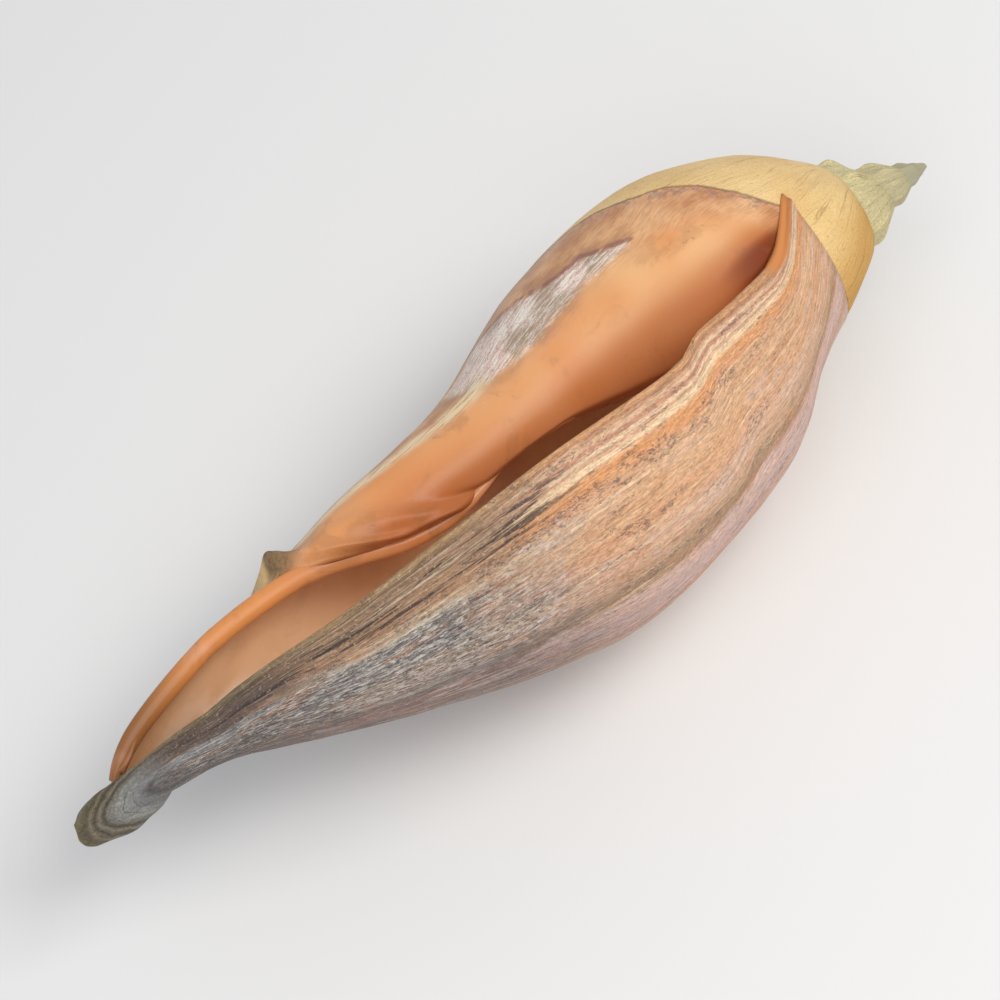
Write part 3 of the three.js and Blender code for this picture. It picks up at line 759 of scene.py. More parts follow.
@dataclass
class Paints:
    """Where each kind of surface lies, worked out a point at a time from its place on the shell."""

    turn_length: float = 260.0
    far: float = 20.0
    very_far: float = 30.0
    ring_middle: float = 22.5
    ring_top: float = -342.0
    ring_stretch: float = 2.9

    def distance(self, turn: Array, height: Array, line: Line) -> Array:
        """Distance to a line drawn on the whorl.

        Args:
            turn: Turns of the points.
            height: Heights of the points.
            line: Turns and heights of the line's corners.

        Returns:
            Millimetres.
        """
        x, y = turn * self.turn_length, height
        xs, ys = np.asarray(line[0], float) * self.turn_length, np.asarray(line[1], float)
        nearest = np.full(np.shape(x), np.inf)
        for x0, y0, x1, y1 in zip(xs[:-1], ys[:-1], xs[1:], ys[1:]):
            length = (x1 - x0) ** 2 + (y1 - y0) ** 2
            t = np.clip(((x - x0) * (x1 - x0) + (y - y0) * (y1 - y0)) / length, 0, 1)
            nearest = np.minimum(nearest, np.hypot(x - x0 - t * (x1 - x0), y - y0 - t * (y1 - y0)))
        return nearest

    def signed(self, turn: Array, height: Array, line: Line) -> Array:
        """Distance to a line on the whorl, positive inside the loop that it closes.

        Args:
            turn: Turns of the points.
            height: Heights of the points.
            line: Turns and heights of the loop's corners.

        Returns:
            Millimetres.
        """
        xs, ys = ([*side, side[0]] for side in line)
        within = np.zeros(np.shape(turn), bool)
        for x0, y0, x1, y1 in zip(xs[:-1], ys[:-1], xs[1:], ys[1:]):
            if y0 == y1:
                continue
            crosses = (height > min(y0, y1)) & (height <= max(y0, y1))
            within ^= crosses & (turn < x0 + (height - y0) * (x1 - x0) / (y1 - y0))
        return np.where(within, 1, -1) * self.distance(turn, height, line)

    def masks(self, points: Array, values: dict[str, Array]) -> dict[str, Array]:
        """What the finish reads, a value at each point of the mesh.

        Args:
            points: The mesh's points, in the shell's own frame.
            values: The mesh's own attributes.

        Returns:
            Distances in millimetres, and shares from 0 to 1, by name.
        """
        turn, height, inside, part = (values[key] for key in ("turn", "height", "inside", "part"))
        age, share = -values["age"] * AGE_LENGTH, values["share"]
        spire, wall, cord = (part == each.value for each in (Part.SPIRE, Part.OUTER_WALL, Part.FOLD))
        canal = wall & (turn < -0.735) & (height < -281)
        hidden = (inside > 0.5) | canal
        edge = np.where(spire | (turn > -0.6), -self.far, self.signed(turn, height, EDGE))
        cream = self.distance(turn, height, CREAM)
        fasciole = bump(np.maximum(self.distance(turn, height, FASCIOLE) - 1.0, 0), 3.4)
        bevel = bump(np.maximum(age, 0), 4.6) * (1 - 0.75 * smoothstep(share, 0.04, 0.1)) * wall
        tail = np.where(
            cord | canal | (wall & (turn < -0.7)),
            smoothstep(-height, 305, 345),
            0.7 * smoothstep(-height, 240, 345) * inside,
        )
        return {
            "age_mm": age,
            "share": share,
            "edge_mm": np.where(hidden, self.far, edge),
            "callus_mm": np.where(hidden, self.very_far, self.signed(turn, height, CALLUS)),
            "mauve_mm": np.where(hidden, self.very_far, self.distance(turn, height, MAUVE)),
            "patch_mm": np.where(hidden, -self.very_far, self.signed(turn, height, PATCH)),
            "cream": bump(np.maximum(cream - 1.5, 0), 4.0) * (1 - inside),
            "fasciole": fasciole * (1 - inside) * ~canal * smoothstep(turn, -0.85, -0.76),
            "bevel": bevel * (1 - smoothstep(share, 0.1, 0.16)) * (1 - inside),
            "ring_mm": np.hypot(
                self.ring_stretch * (points[:, 0] - self.ring_middle), np.minimum(height - self.ring_top, 0)
            ),
            "tail": tail,
            "orange": smoothstep(-height, 262, 290) * cord,
            "spoon": smoothstep(share, 0.86, 0.93) * (turn > -0.35) * (1 - inside),
            "early": 1 - smoothstep(turn, -0.72, -0.5),
            "spire": 1 - smoothstep(turn, -1.36, -1.3),
            # painted shade beside the lip and on the columella, with the glaze's own deeper brown there
            "deep_shade": self.depth(turn, height, inside, part),
            "within": inside * wall,
        }

    @staticmethod
    def depth(turn: Array, height: Array, inside: Array, part: Array) -> Array:
        """Where the glaze is darker beside the lip on the parietal wall, less so lower down, and on the
        columella: painted shade, partly the glaze's own deeper brown.

        Args:
            turn: Turns of the points.
            height: Heights of the points.
            inside: 1 on the hollow's side.
            part: Which stretch of surface they are on.

        Returns:
            0 in the open, 1 where the painted shade is darkest.
        """
        parietal = (1 - inside) * (1 - smoothstep(turn, -0.962, -0.9)) * (turn > -1.32)
        parietal = parietal * (1 - 0.3 * smoothstep(-height, 84, 112) - 0.35 * smoothstep(-height, 112, 185))
        return np.clip(parietal + 0.6 * (part == Part.COLUMELLA.value), 0, 1)


Socket = bpy.types.NodeSocket
Value = Socket | float

# A Mix node's first input, second input and output, for colours and for plain values
MIX_COLOURS = (6, 7, 2)
MIX_VALUES = (2, 3, 0)


def rgb(*parts: int) -> Colour:
    """A colour in linear light, given as a screen shows it: red, green and blue from 0 to 255."""
    shares = (value / 255 for value in parts)
    return tuple(each / 12.92 if each <= 0.04045 else ((each + 0.055) / 1.055) ** 2.4 for each in shares)


def stops(*rows: tuple[float, int, int, int]) -> Stops:
    """The stops of a ramp, from rows of a place and a colour as a screen shows it."""
    return tuple((place, rgb(*colour)) for place, *colour in rows)


@dataclass(frozen=True)
class Grain:
    """A noise. It lies along the lines of growth, or has no direction where it has one size only.

    The two sizes are turns of the noise to a millimetre, across the lines of growth and along them."""

    across: float
    along: float | None = None
    detail: float = 3.0
    roughness: float = 0.55
    distort: float = 0.0


@dataclass
class Nodes:
    """Adds the nodes of the shell's material and links them."""

    material: bpy.types.Material
    known: dict[str, Socket] = field(default_factory=dict)

    def __post_init__(self) -> None:
        """Clears the node tree, and adds the two kinds of place that noises are drawn in."""
        self.material.use_nodes = True
        self.tree = self.material.node_tree
        self.tree.nodes.clear()
        self.flow = self.add("Attribute", attribute_name="flow").outputs["Vector"]
        self.place = self.stretched(self.add("TexCoord").outputs["Object"], (1 / MM, 1 / MM, 1 / MM))

    def set(self, socket: Socket, value: Value | Colour) -> None:
        """Links or sets an input.

        Args:
            socket: The input.
            value: An output to link, a number, a vector or a colour.
        """
        if isinstance(value, bpy.types.NodeSocket):
            self.tree.links.new(value, socket)
        elif socket.type == "RGBA" and isinstance(value, tuple):
            socket.default_value = (*value, 1.0)
        else:
            socket.default_value = value

    def add(self, kind: str, *values: Value | Colour, **settings: str) -> bpy.types.Node:
        """Adds a node.

        Args:
            kind: Blender's name for it.
            *values: Its first inputs, in order.
            **settings: Its settings.

        Returns:
            The node.
        """
        node = self.tree.nodes.new(f"ShaderNode{kind}")
        for name, setting in settings.items():
            setattr(node, name, setting)
        for socket, value in zip(node.inputs, values):
            self.set(socket, value)
        return node

    def read(self, name: str) -> Socket:
        """A value that the mesh carries; it gets one node, however often it is read.

        Args:
            name: The attribute.

        Returns:
            The value.
        """
        if name not in self.known:
            self.known[name] = self.add("Attribute", attribute_name=name).outputs["Fac"]
        return self.known[name]

    def math(self, operation: str, *values: Value) -> Socket:
        """A sum, by Blender's name for it."""
        return self.add("Math", *values, operation=operation).outputs[0]

    def times(self, *values: Value) -> Value:
        """The product of the values."""
        return reduce(partial(self.math, "MULTIPLY"), values)

    def plus(self, *values: Value) -> Value:
        """The total of the values."""
        return reduce(partial(self.math, "ADD"), values)

    def sway(self, noise: Socket, reach: float) -> Socket:
        """A noise as a shift to either side, over the given reach in all."""
        return self.math("MULTIPLY_ADD", noise, reach, -reach / 2)

    def span(self, value: Value, low: float, high: float, *to: float) -> Socket:
        """A smooth map from one range to another, which is 0 to 1 unless given."""
        return self.add("MapRange", value, low, high, *to, interpolation_type="SMOOTHSTEP").outputs[0]

    def band(self, value: Value, start: float, full: float, ebb: float, end: float) -> Socket:
        """1 from full to ebb, 0 before the start and past the end."""
        return self.times(self.span(value, start, full), self.span(value, end, ebb))

    def mix(self, amount: Value, low: Socket | Colour, high: Socket | Colour, blend: str = "MIX") -> Socket:
        """A mix of two colours, by the share of the second."""
        return self.sides(self.add("Mix", amount, data_type="RGBA", blend_type=blend), low, high, MIX_COLOURS)

    def laid(self, colour: Socket | Colour, *layers: tuple[Value | Colour, ...]) -> Socket:
        """Lays colours over another.

        Args:
            colour: The colour beneath.
            *layers: Rows of a colour, where it lies and, if not 1, how much of it shows there.

        Returns:
            The colour.
        """
        for over, mask, *amount in layers:
            colour = self.mix(self.times(mask, *amount), colour, over)
        return colour

    def shaded(self, colour: Socket, tone: Socket) -> Socket:
        """A colour, darker or lighter by a tone."""
        return self.mix(1.0, colour, tone, "MULTIPLY")

    def between(self, amount: Value, low: Value, high: Value) -> Socket:
        """A mix of two values, by the share of the second."""
        return self.sides(self.add("Mix", amount), low, high, MIX_VALUES)

    def sides(
        self, node: bpy.types.Node, low: Value | Colour, high: Value | Colour, spots: tuple[int, int, int]
    ) -> Socket:
        """Sets the two sides of a Mix node.

        Args:
            node: The node.
            low: The first side.
            high: The second side.
            spots: Which inputs they are, and which output the mix is.

        Returns:
            The mix.
        """
        self.set(node.inputs[spots[0]], low)
        self.set(node.inputs[spots[1]], high)
        return node.outputs[spots[2]]

    def stretched(self, vector: Socket, scale: Triple) -> Socket:
        """A vector with each part scaled."""
        return self.add("VectorMath", vector, scale, operation="MULTIPLY").outputs[0]

    def noise(self, grain: Grain, vector: Socket | None = None) -> Socket:
        """A noise, about 0 to 1.

        Args:
            grain: Its grain.
            vector: Where it is read, if not along the lines of growth or in plain space.

        Returns:
            The noise.
        """
        if grain.along is None:
            spot = self.stretched(vector or self.place, (grain.across,) * 3)
        else:
            spot = self.stretched(vector or self.flow, (grain.across, grain.along, 0.0))
        node = self.add("TexNoise", spot)
        inputs = {"Detail": grain.detail, "Roughness": grain.roughness, "Distortion": grain.distort}
        for name, value in {**inputs, "Scale": 1.0}.items():
            node.inputs[name].default_value = value
        return node.outputs["Fac"]

    def ramp(self, value: Value, colours: Stops, length: float = 1.0) -> Socket:
        """A colour ramp.

        Args:
            value: Where it is read.
            colours: Places and colours, in order.
            length: The length of the whole ramp, in the units of the value.

        Returns:
            The colour.
        """
        node = self.add("ValToRGB", self.times(value, 1 / length))
        elements = node.color_ramp.elements
        for _ in colours[len(elements) :]:
            elements.new(0.5)
        for element, (place, colour) in zip(elements, colours):
            element.position = place / length
            element.color = (*colour, 1.0)
        return node.outputs["Color"]

    def relief(self, height: Socket, depth: float) -> Socket:
        """Fine relief.

        Args:
            height: The height, in units of the depth.
            depth: Metres.

        Returns:
            The normal.
        """
        node = self.add("Bump")
        for name, value in (("Strength", 1.0), ("Distance", depth), ("Height", height)):
            self.set(node.inputs[name], value)
        return node.outputs["Normal"]


@dataclass(frozen=True)
class OuterFinish:
    """The outside of the last whorl: worn, streaked along the lines of growth and flecked with grey.

    Each row of streaks is a distance back from the lip, in millimetres, and its colour."""

    upper: Stops = stops(
        *((0, 206, 150, 100), (1.2, 178, 122, 84), (2.4, 206, 158, 122), (3.4, 232, 192, 152)),
        *((4.4, 190, 134, 104), (5.6, 206, 152, 120), (6.3, 246, 216, 176), (7.3, 206, 150, 116)),
        *((8.4, 238, 202, 160), (9.6, 240, 208, 166), (11.2, 226, 160, 104), (14.5, 224, 154, 98)),
        *((18.5, 216, 168, 128), (25, 226, 176, 132), (33, 222, 164, 118), (42, 228, 182, 150)),
        *((49, 214, 166, 130), (54.5, 188, 148, 112), (58, 176, 132, 98), (61.5, 226, 180, 158)),
        *((72, 218, 180, 172), (84, 214, 160, 130), (100, 218, 178, 166)),
    )
    lower: Stops = stops(
        *((0, 166, 133, 91), (2.2, 122, 92, 68), (4.5, 160, 126, 94), (7, 131, 101, 78)),
        *((9.5, 160, 124, 92), (13, 171, 129, 96), (16.5, 174, 133, 99), (19.5, 192, 176, 152)),
        *((23, 131, 124, 119), (34, 136, 127, 122), (42, 174, 150, 126), (48, 160, 134, 122)),
        *((55, 115, 106, 99), (63, 153, 120, 112), (80, 131, 105, 96), (100, 122, 94, 85)),
    )
    # The anterior end's grey-brown bands: partly the shell's own colours, partly painted shade that darkens
    # the end
    anterior: Stops = stops(
        *((0, 129, 111, 79), (2.4, 86, 70, 55), (6, 106, 86, 76), (9, 86, 70, 63)),
        *((14, 111, 89, 79), (19, 106, 89, 81), (23, 157, 156, 154), (29, 136, 134, 134)),
        *((36, 93, 84, 81), (60, 83, 73, 70), (100, 93, 78, 73)),
    )
    rings: Stops = stops(
        *((0, 88, 78, 76), (3.5, 122, 118, 118), (5.5, 76, 70, 70), (8, 134, 132, 132)),
        *((10.5, 80, 76, 76), (12.5, 150, 149, 147), (17, 172, 171, 166), (23, 178, 176, 166)),
        *((26, 146, 138, 122), (27, 92, 82, 70), (29, 168, 156, 130), (31, 98, 88, 70)),
        *((33, 164, 150, 120), (35, 116, 104, 80), (37.5, 160, 146, 110), (40, 136, 122, 90)),
    )
    streaks_length: float = 100.0
    rings_length: float = 40.0
    older: Stops = stops((0.32, 222, 166, 132), (0.45, 236, 196, 178), (0.56, 232, 190, 158))
    cream: Colour = rgb(250, 226, 190)
    rose: Colour = rgb(214, 150, 128)
    pale_blue: Colour = rgb(206, 202, 208)
    white: Colour = rgb(226, 220, 210)
    brown: Colour = rgb(122, 88, 66)
    fleck: Colour = rgb(76, 70, 74)
    black: Colour = rgb(44, 36, 36)
    # Dark brown of the lower side: partly the shell's own colour, partly painted shade
    low_side_and_shade: Colour = rgb(104, 78, 72)
    lilac_grey: Colour = rgb(206, 186, 180)
    tan: Colour = rgb(202, 142, 96)
    line_brown: Colour = rgb(96, 86, 82)
    wander: Grain = Grain(0.09, 0.02)
    crumbled: Grain = Grain(0.9, 0.45, 4.0, 0.7)
    uneven: Grain = Grain(0.05, 0.03, 2.0)
    beyond: Grain = Grain(0.08, 0.007, 3.0, 0.6, 0.5)
    streaks: Grain = Grain(0.62, 0.013, 4.0, 0.62, 0.35)
    threads: Grain = Grain(2.0, 0.06, 4.0, 0.7, 0.3)
    clouds: Grain = Grain(0.14, 0.03, 5.0, 0.7, 0.9)
    grain: Grain = Grain(1.1, 0.3, 5.0, 0.75, 0.8)
    dust: Grain = Grain(0.9, None, 5.0, 0.8, 0.4)
    marks: Grain = Grain(1.0, 0.46, 4.0, 0.75, 0.9)
    rows: Grain = Grain(0.16, 0.035, 4.0, 0.6, 0.4)
    first_row: Grain = Grain(0.1, 0.06)
    fibres: Grain = Grain(0.85, 0.2, 5.0, 0.75, 1.2)
    dashes: Grain = Grain(0.5, 0.03, 5.0, 0.7, 0.5)
    ring_wave: Grain = Grain(0.16, None, 4.0, 0.6)
    ring_lines: Grain = Grain(1.1, 0.0, 3.0, 0.7)
    ring_dust: Grain = Grain(1.0, None, 5.0, 0.8)

    def colour(self, n: Nodes) -> Socket:
        """The colour, from the broad streaks to the fine marks.

        Args:
            n: The material's nodes.

        Returns:
            The colour.
        """
        age, share = n.read("age_mm"), n.read("share")
        wander = n.times(n.sway(n.noise(self.wander), 9.0), n.span(age, 6.0, 22.0))
        crumbled = n.times(n.sway(n.noise(self.crumbled), 2.6), n.span(age, 0.5, 3.0))
        back = n.plus(age, wander, crumbled)
        upper, lower, anterior = (
            n.ramp(back, each, self.streaks_length) for each in (self.upper, self.lower, self.anterior)
        )
        uneven = n.math("MULTIPLY_ADD", n.noise(self.uneven), 0.22, share)
        low = n.span(uneven, 0.5, 0.7)
        streaks, threads, clouds = (n.noise(each) for each in (self.streaks, self.threads, self.clouds))
        # The lower side, further back from the lip, turns dark brown: partly the shell's own colour, partly
        # painted shade
        below = n.times(n.span(age, 44.0, 74.0), n.span(share, 0.3, 0.6))
        bluish = n.times(n.span(age, 56.0, 66.0), n.span(threads, 0.5, 0.64))
        cloudy = n.span(age, 10.0, 18.0, 0.0, 0.45)
        colour = n.laid(
            upper,
            (lower, low),
            (n.ramp(n.noise(self.beyond), self.older), n.span(age, 84.0, 110.0)),
            (self.low_side_and_shade, below, 0.7),
            (self.cream, n.span(streaks, 0.54, 0.7), 0.5),
            (self.rose, n.span(streaks, 0.46, 0.32), 0.5),
            # Darker grey-brown towards the anterior end: partly the shell's own colours, partly painted shade
            (anterior, n.span(uneven, 0.76, 0.94)),
            (self.pale_blue, bluish, 0.55),
            (self.cream, n.span(threads, 0.53, 0.66), 0.32),
            (self.brown, n.span(threads, 0.46, 0.34), 0.45),
            (self.lilac_grey, n.span(clouds, 0.54, 0.64), cloudy),
            (self.tan, n.span(clouds, 0.46, 0.38), cloudy),
        )
        return self.spoon(n, self.gritty(n, self.flecked(n, colour, low)))

    def gritty(self, n: Nodes, colour: Socket) -> Socket:
        """Adds the worn surface's fine grain and its small pits.

        Args:
            n: The material's nodes.
            colour: The colour beneath.

        Returns:
            The colour.
        """
        colour = n.shaded(colour, n.span(n.noise(self.grain), 0.34, 0.64, 0.7, 1.16))
        dust = n.noise(self.dust)
        dark, light = n.span(dust, 0.44, 0.34), n.span(dust, 0.56, 0.66)
        return n.laid(colour, (self.line_brown, dark, 0.5), (self.cream, light, 0.4))

    def flecked(self, n: Nodes, colour: Socket, low: Socket) -> Socket:
        """Adds the grey flecks, in rows, and the black streaks beside the lip.

        Args:
            n: The material's nodes.
            colour: The colour beneath.
            low: 1 towards the anterior end.

        Returns:
            The colour.
        """
        age, share = n.read("age_mm"), n.read("share")
        first = n.times(n.band(age, 11.0, 15.0, 18.0, 24.0), n.span(n.noise(self.first_row), 0.4, 0.55))
        grey = n.times(n.band(age, 18.0, 22.0, 46.0, 62.0), low)
        rows = n.span(n.noise(self.rows), 0.5, 0.62)
        where = n.math("MAXIMUM", first, n.math("MAXIMUM", grey, rows))
        limit = n.math("MULTIPLY_ADD", n.times(where, n.span(share, 0.04, 0.16)), -0.22, 0.72)
        marks = n.span(n.math("SUBTRACT", n.noise(self.marks), limit), 0.0, 0.05)
        fibres = n.noise(self.fibres)
        strip = n.times(n.band(age, 3.0, 5.5, 12.0, 18.0), n.span(share, 0.3, 0.5))
        dashes = n.span(n.noise(self.dashes), 0.52, 0.57)
        return n.laid(
            colour,
            (self.fleck, marks, 0.6),
            (self.white, n.times(n.span(fibres, 0.52, 0.58), grey), 0.65),
            (self.fleck, n.times(n.span(fibres, 0.45, 0.4), grey), 0.85),
            (self.black, n.times(dashes, strip), 0.85),
        )

    def spoon(self, n: Nodes, colour: Socket) -> Socket:
        """Adds the curved lines at the anterior end.

        Args:
            n: The material's nodes.
            colour: The colour beneath.

        Returns:
            The colour.
        """
        wave = n.plus(n.read("ring_mm"), n.sway(n.noise(self.ring_wave), 5.0))
        lines = n.noise(self.ring_lines, n.add("CombineXYZ", wave).outputs[0])
        end = n.ramp(wave, self.rings, self.rings_length)
        end = n.laid(end, (self.line_brown, n.span(lines, 0.5, 0.62), 0.6))
        end = n.shaded(end, n.span(n.noise(self.ring_dust), 0.35, 0.65, 0.56, 0.98))
        return n.laid(colour, (end, n.read("spoon")))


@dataclass(frozen=True)
class EarlyFinish:
    """The smooth yellow whorl and the pale spire."""

    yellow: Colour = rgb(246, 210, 146)
    amber: Colour = rgb(216, 164, 88)
    rust: Colour = rgb(150, 96, 58)
    bone: Colour = rgb(228, 212, 158)
    olive: Colour = rgb(118, 100, 64)
    tip: Colour = rgb(208, 200, 164)
    cloud: Grain = Grain(0.035)
    bend: Grain = Grain(0.07, 0.05, 2.0)
    bend_reach: float = 14.0
    lines: Grain = Grain(0.5, 0.03, 4.0, 0.6, 0.2)
    pits: Grain = Grain(0.5, None, 5.0, 0.75, 0.6)
    dust: Grain = Grain(1.2, None, 4.0, 0.8)
    ribs: Grain = Grain(0.34, 0.06, 5.0, 0.7, 0.3)
    fade: Grain = Grain(0.12, None, 2.0)

    def colour(self, n: Nodes) -> Socket:
        """The colour.

        Args:
            n: The material's nodes.

        Returns:
            The colour.
        """
        age = n.read("age_mm")
        # Further back from the lip the yellow whorl turns amber, over random amber clouds: partly its own
        # amber, partly painted shade
        side = n.times(n.span(age, 450.0, 505.0), 0.85)
        amber = n.math("MULTIPLY_ADD", n.span(n.noise(self.cloud), 0.4, 0.7), 0.3, side)
        shift = (self.bend_reach, 0.0, 0.0)
        bent = n.add("VectorMath", n.noise(self.bend), shift, n.flow, operation="MULTIPLY_ADD").outputs[0]
        colour = n.laid(
            self.yellow,
            (self.amber, amber),
            (self.rust, n.span(n.noise(self.lines, bent), 0.57, 0.66), 0.4),
            (self.rust, n.span(n.noise(self.pits), 0.6, 0.68), 0.5),
        )
        dust = n.noise(self.dust)
        colour = n.shaded(colour, n.span(dust, 0.35, 0.65, 0.9, 1.08))
        dark = n.times(n.span(n.noise(self.ribs), 0.52, 0.64), n.span(n.noise(self.fade), 0.35, 0.6))
        spire = n.laid(self.bone, (self.olive, dark, 0.75))
        spire = n.shaded(spire, n.span(dust, 0.35, 0.65, 0.78, 1.12))
        spire = n.laid(spire, (self.tip, n.span(age, 1000.0, 1900.0)))
        return n.laid(colour, (spire, n.read("spire")))


@dataclass(frozen=True)
class GlazeFinish:
    """The glaze of the aperture: brownish and thin at its edge, thick and orange further in."""

    peach: Colour = rgb(234, 180, 126)
    orange: Colour = rgb(222, 146, 88)
    # The thick glaze's deeper brown, also laid as painted shade further in and beside the lip
    deep_shade: Colour = rgb(168, 92, 50)
    # Painted shade: the darkest brown, where the lip's shadow falls on the glaze
    darkest_painted_shade: Colour = rgb(108, 38, 12)
    pink: Colour = rgb(254, 206, 160)
    bevel: Colour = rgb(206, 132, 72)
    # A pink laid in blotches over the glaze as a painted sheen
    rose: Colour = rgb(230, 170, 140)
    thin: Colour = rgb(226, 174, 126)
    thin_brown: Colour = rgb(196, 136, 92)
    tail_brown: Colour = rgb(134, 88, 48)
    cord_orange: Colour = rgb(222, 146, 82)
    smudge: Colour = rgb(134, 118, 116)
    edge: Colour = rgb(120, 82, 58)
    mauve: Colour = rgb(136, 84, 80)
    patch_white: Colour = rgb(250, 242, 228)
    patch_rose: Colour = rgb(220, 182, 170)
    patch_grey: Colour = rgb(140, 122, 104)
    patch_olive: Colour = rgb(166, 142, 106)
    cream: Colour = rgb(240, 220, 180)
    bone: Colour = rgb(160, 130, 86)
    stain: Colour = rgb(124, 90, 60)
    cloud: Grain = Grain(0.02, None, 2.0)
    painted_sheen: Grain = Grain(0.03, None, 3.0, 0.5)
    spots: Grain = Grain(0.5, None, 4.0, 0.7, 0.5)
    murk: Grain = Grain(0.045, None, 4.0, 0.65, 0.6)
    uneven: Grain = Grain(0.07, None, 4.0, 0.6)
    broad: Grain = Grain(0.06)
    smudges: Grain = Grain(0.16, 0.3, 5.0, 0.65, 0.8)
    hatch: Grain = Grain(0.9, 0.16, 5.0, 0.75, 0.8)
    strokes: Grain = Grain(0.5, 0.1, 5.0, 0.7, 1.4)
    fine: Grain = Grain(0.8, None, 5.0, 0.75, 1.5)
    wobble: Grain = Grain(0.3, None, 5.0, 0.7)

    def colour(self, n: Nodes) -> Socket:
        """The colour: the thick glaze, with its thin margin beside it.

        Args:
            n: The material's nodes.

        Returns:
            The colour.
        """
        share, deep_shade, within, callus = (n.read(name) for name in ("share", "deep_shade", "within", "callus_mm"))
        dusk = n.times(n.span(callus, 8.0, 50.0), n.span(share, 0.1, 0.2))
        painted_sheen = n.span(n.noise(self.painted_sheen), 0.52, 0.68)
        murky = n.times(n.span(n.noise(self.murk), 0.52, 0.64), n.span(within, 0.0, 0.5, 1.0, 0.3))
        spots = n.span(n.noise(self.spots), 0.58, 0.68)
        thick = n.laid(
            self.peach,
            (self.orange, n.span(n.noise(self.cloud), 0.35, 0.65)),
            (self.orange, n.span(share, 0.28, 0.6), 0.6),
            # Painted shade, partly the glaze's own deeper brown: further into the thick glaze and lower down
            # it browns, more so beside the lip and on the columella, and darkest by the lip
            (self.deep_shade, dusk, 0.55),
            (self.deep_shade, deep_shade),
            (self.darkest_painted_shade, n.span(deep_shade, 0.7, 1.0, 0.0, 0.75)),
            (self.pink, within),
            (self.cord_orange, n.read("orange")),
            (self.tail_brown, n.read("tail"), 0.85),
            # Painted sheen: pink blotches, left out where the painted shade lies
            (self.rose, painted_sheen, n.span(deep_shade, 0.0, 0.4, 0.45, 0.0)),
            (self.stain, murky, 0.22),
            (self.stain, n.times(spots, murky), 0.5),
        )
        thickness = n.plus(callus, n.sway(n.noise(self.uneven), 12.0))
        return n.laid(self.margin(n), (thick, n.span(thickness, -5.0, 7.0)))

    def margin(self, n: Nodes) -> Socket:
        """The thin glaze, with its smudges, the mauve line and the pale crackled patch.

        Args:
            n: The material's nodes.

        Returns:
            The colour.
        """
        edge, patch_mm, broad = n.read("edge_mm"), n.read("patch_mm"), n.noise(self.broad)
        smudged = n.times(n.span(edge, 8.0, 1.0), n.span(n.noise(self.smudges), 0.48, 0.58))
        brownish = n.span(broad, 0.35, 0.65)
        colour = n.laid(self.thin, (self.thin_brown, brownish), (self.smudge, smudged, 0.6))
        colour = n.shaded(colour, n.span(n.noise(self.hatch), 0.36, 0.62, 0.8, 1.12))
        strokes, clouded = n.noise(self.strokes), n.span(broad, 0.4, 0.6)
        patch = n.laid(
            self.patch_rose,
            (self.patch_white, n.span(strokes, 0.42, 0.58)),
            (self.patch_grey, n.span(n.noise(self.fine), 0.52, 0.62), 0.7),
            (self.patch_olive, n.times(clouded, n.span(strokes, 0.56, 0.44)), 0.7),
        )
        inside = n.span(n.plus(patch_mm, n.sway(strokes, 8.0)), -0.5, 2.5)
        line = n.plus(n.read("mauve_mm"), n.sway(n.noise(self.wobble), 5.0))
        return n.laid(
            colour,
            (patch, inside, n.span(edge, 0.0, 7.0, 0.0, 0.92)),
            (self.patch_grey, n.times(n.span(patch_mm, -8.0, -1.0), clouded), 0.35),
            (self.mauve, n.span(line, 1.7, 0.1), 0.7),
        )


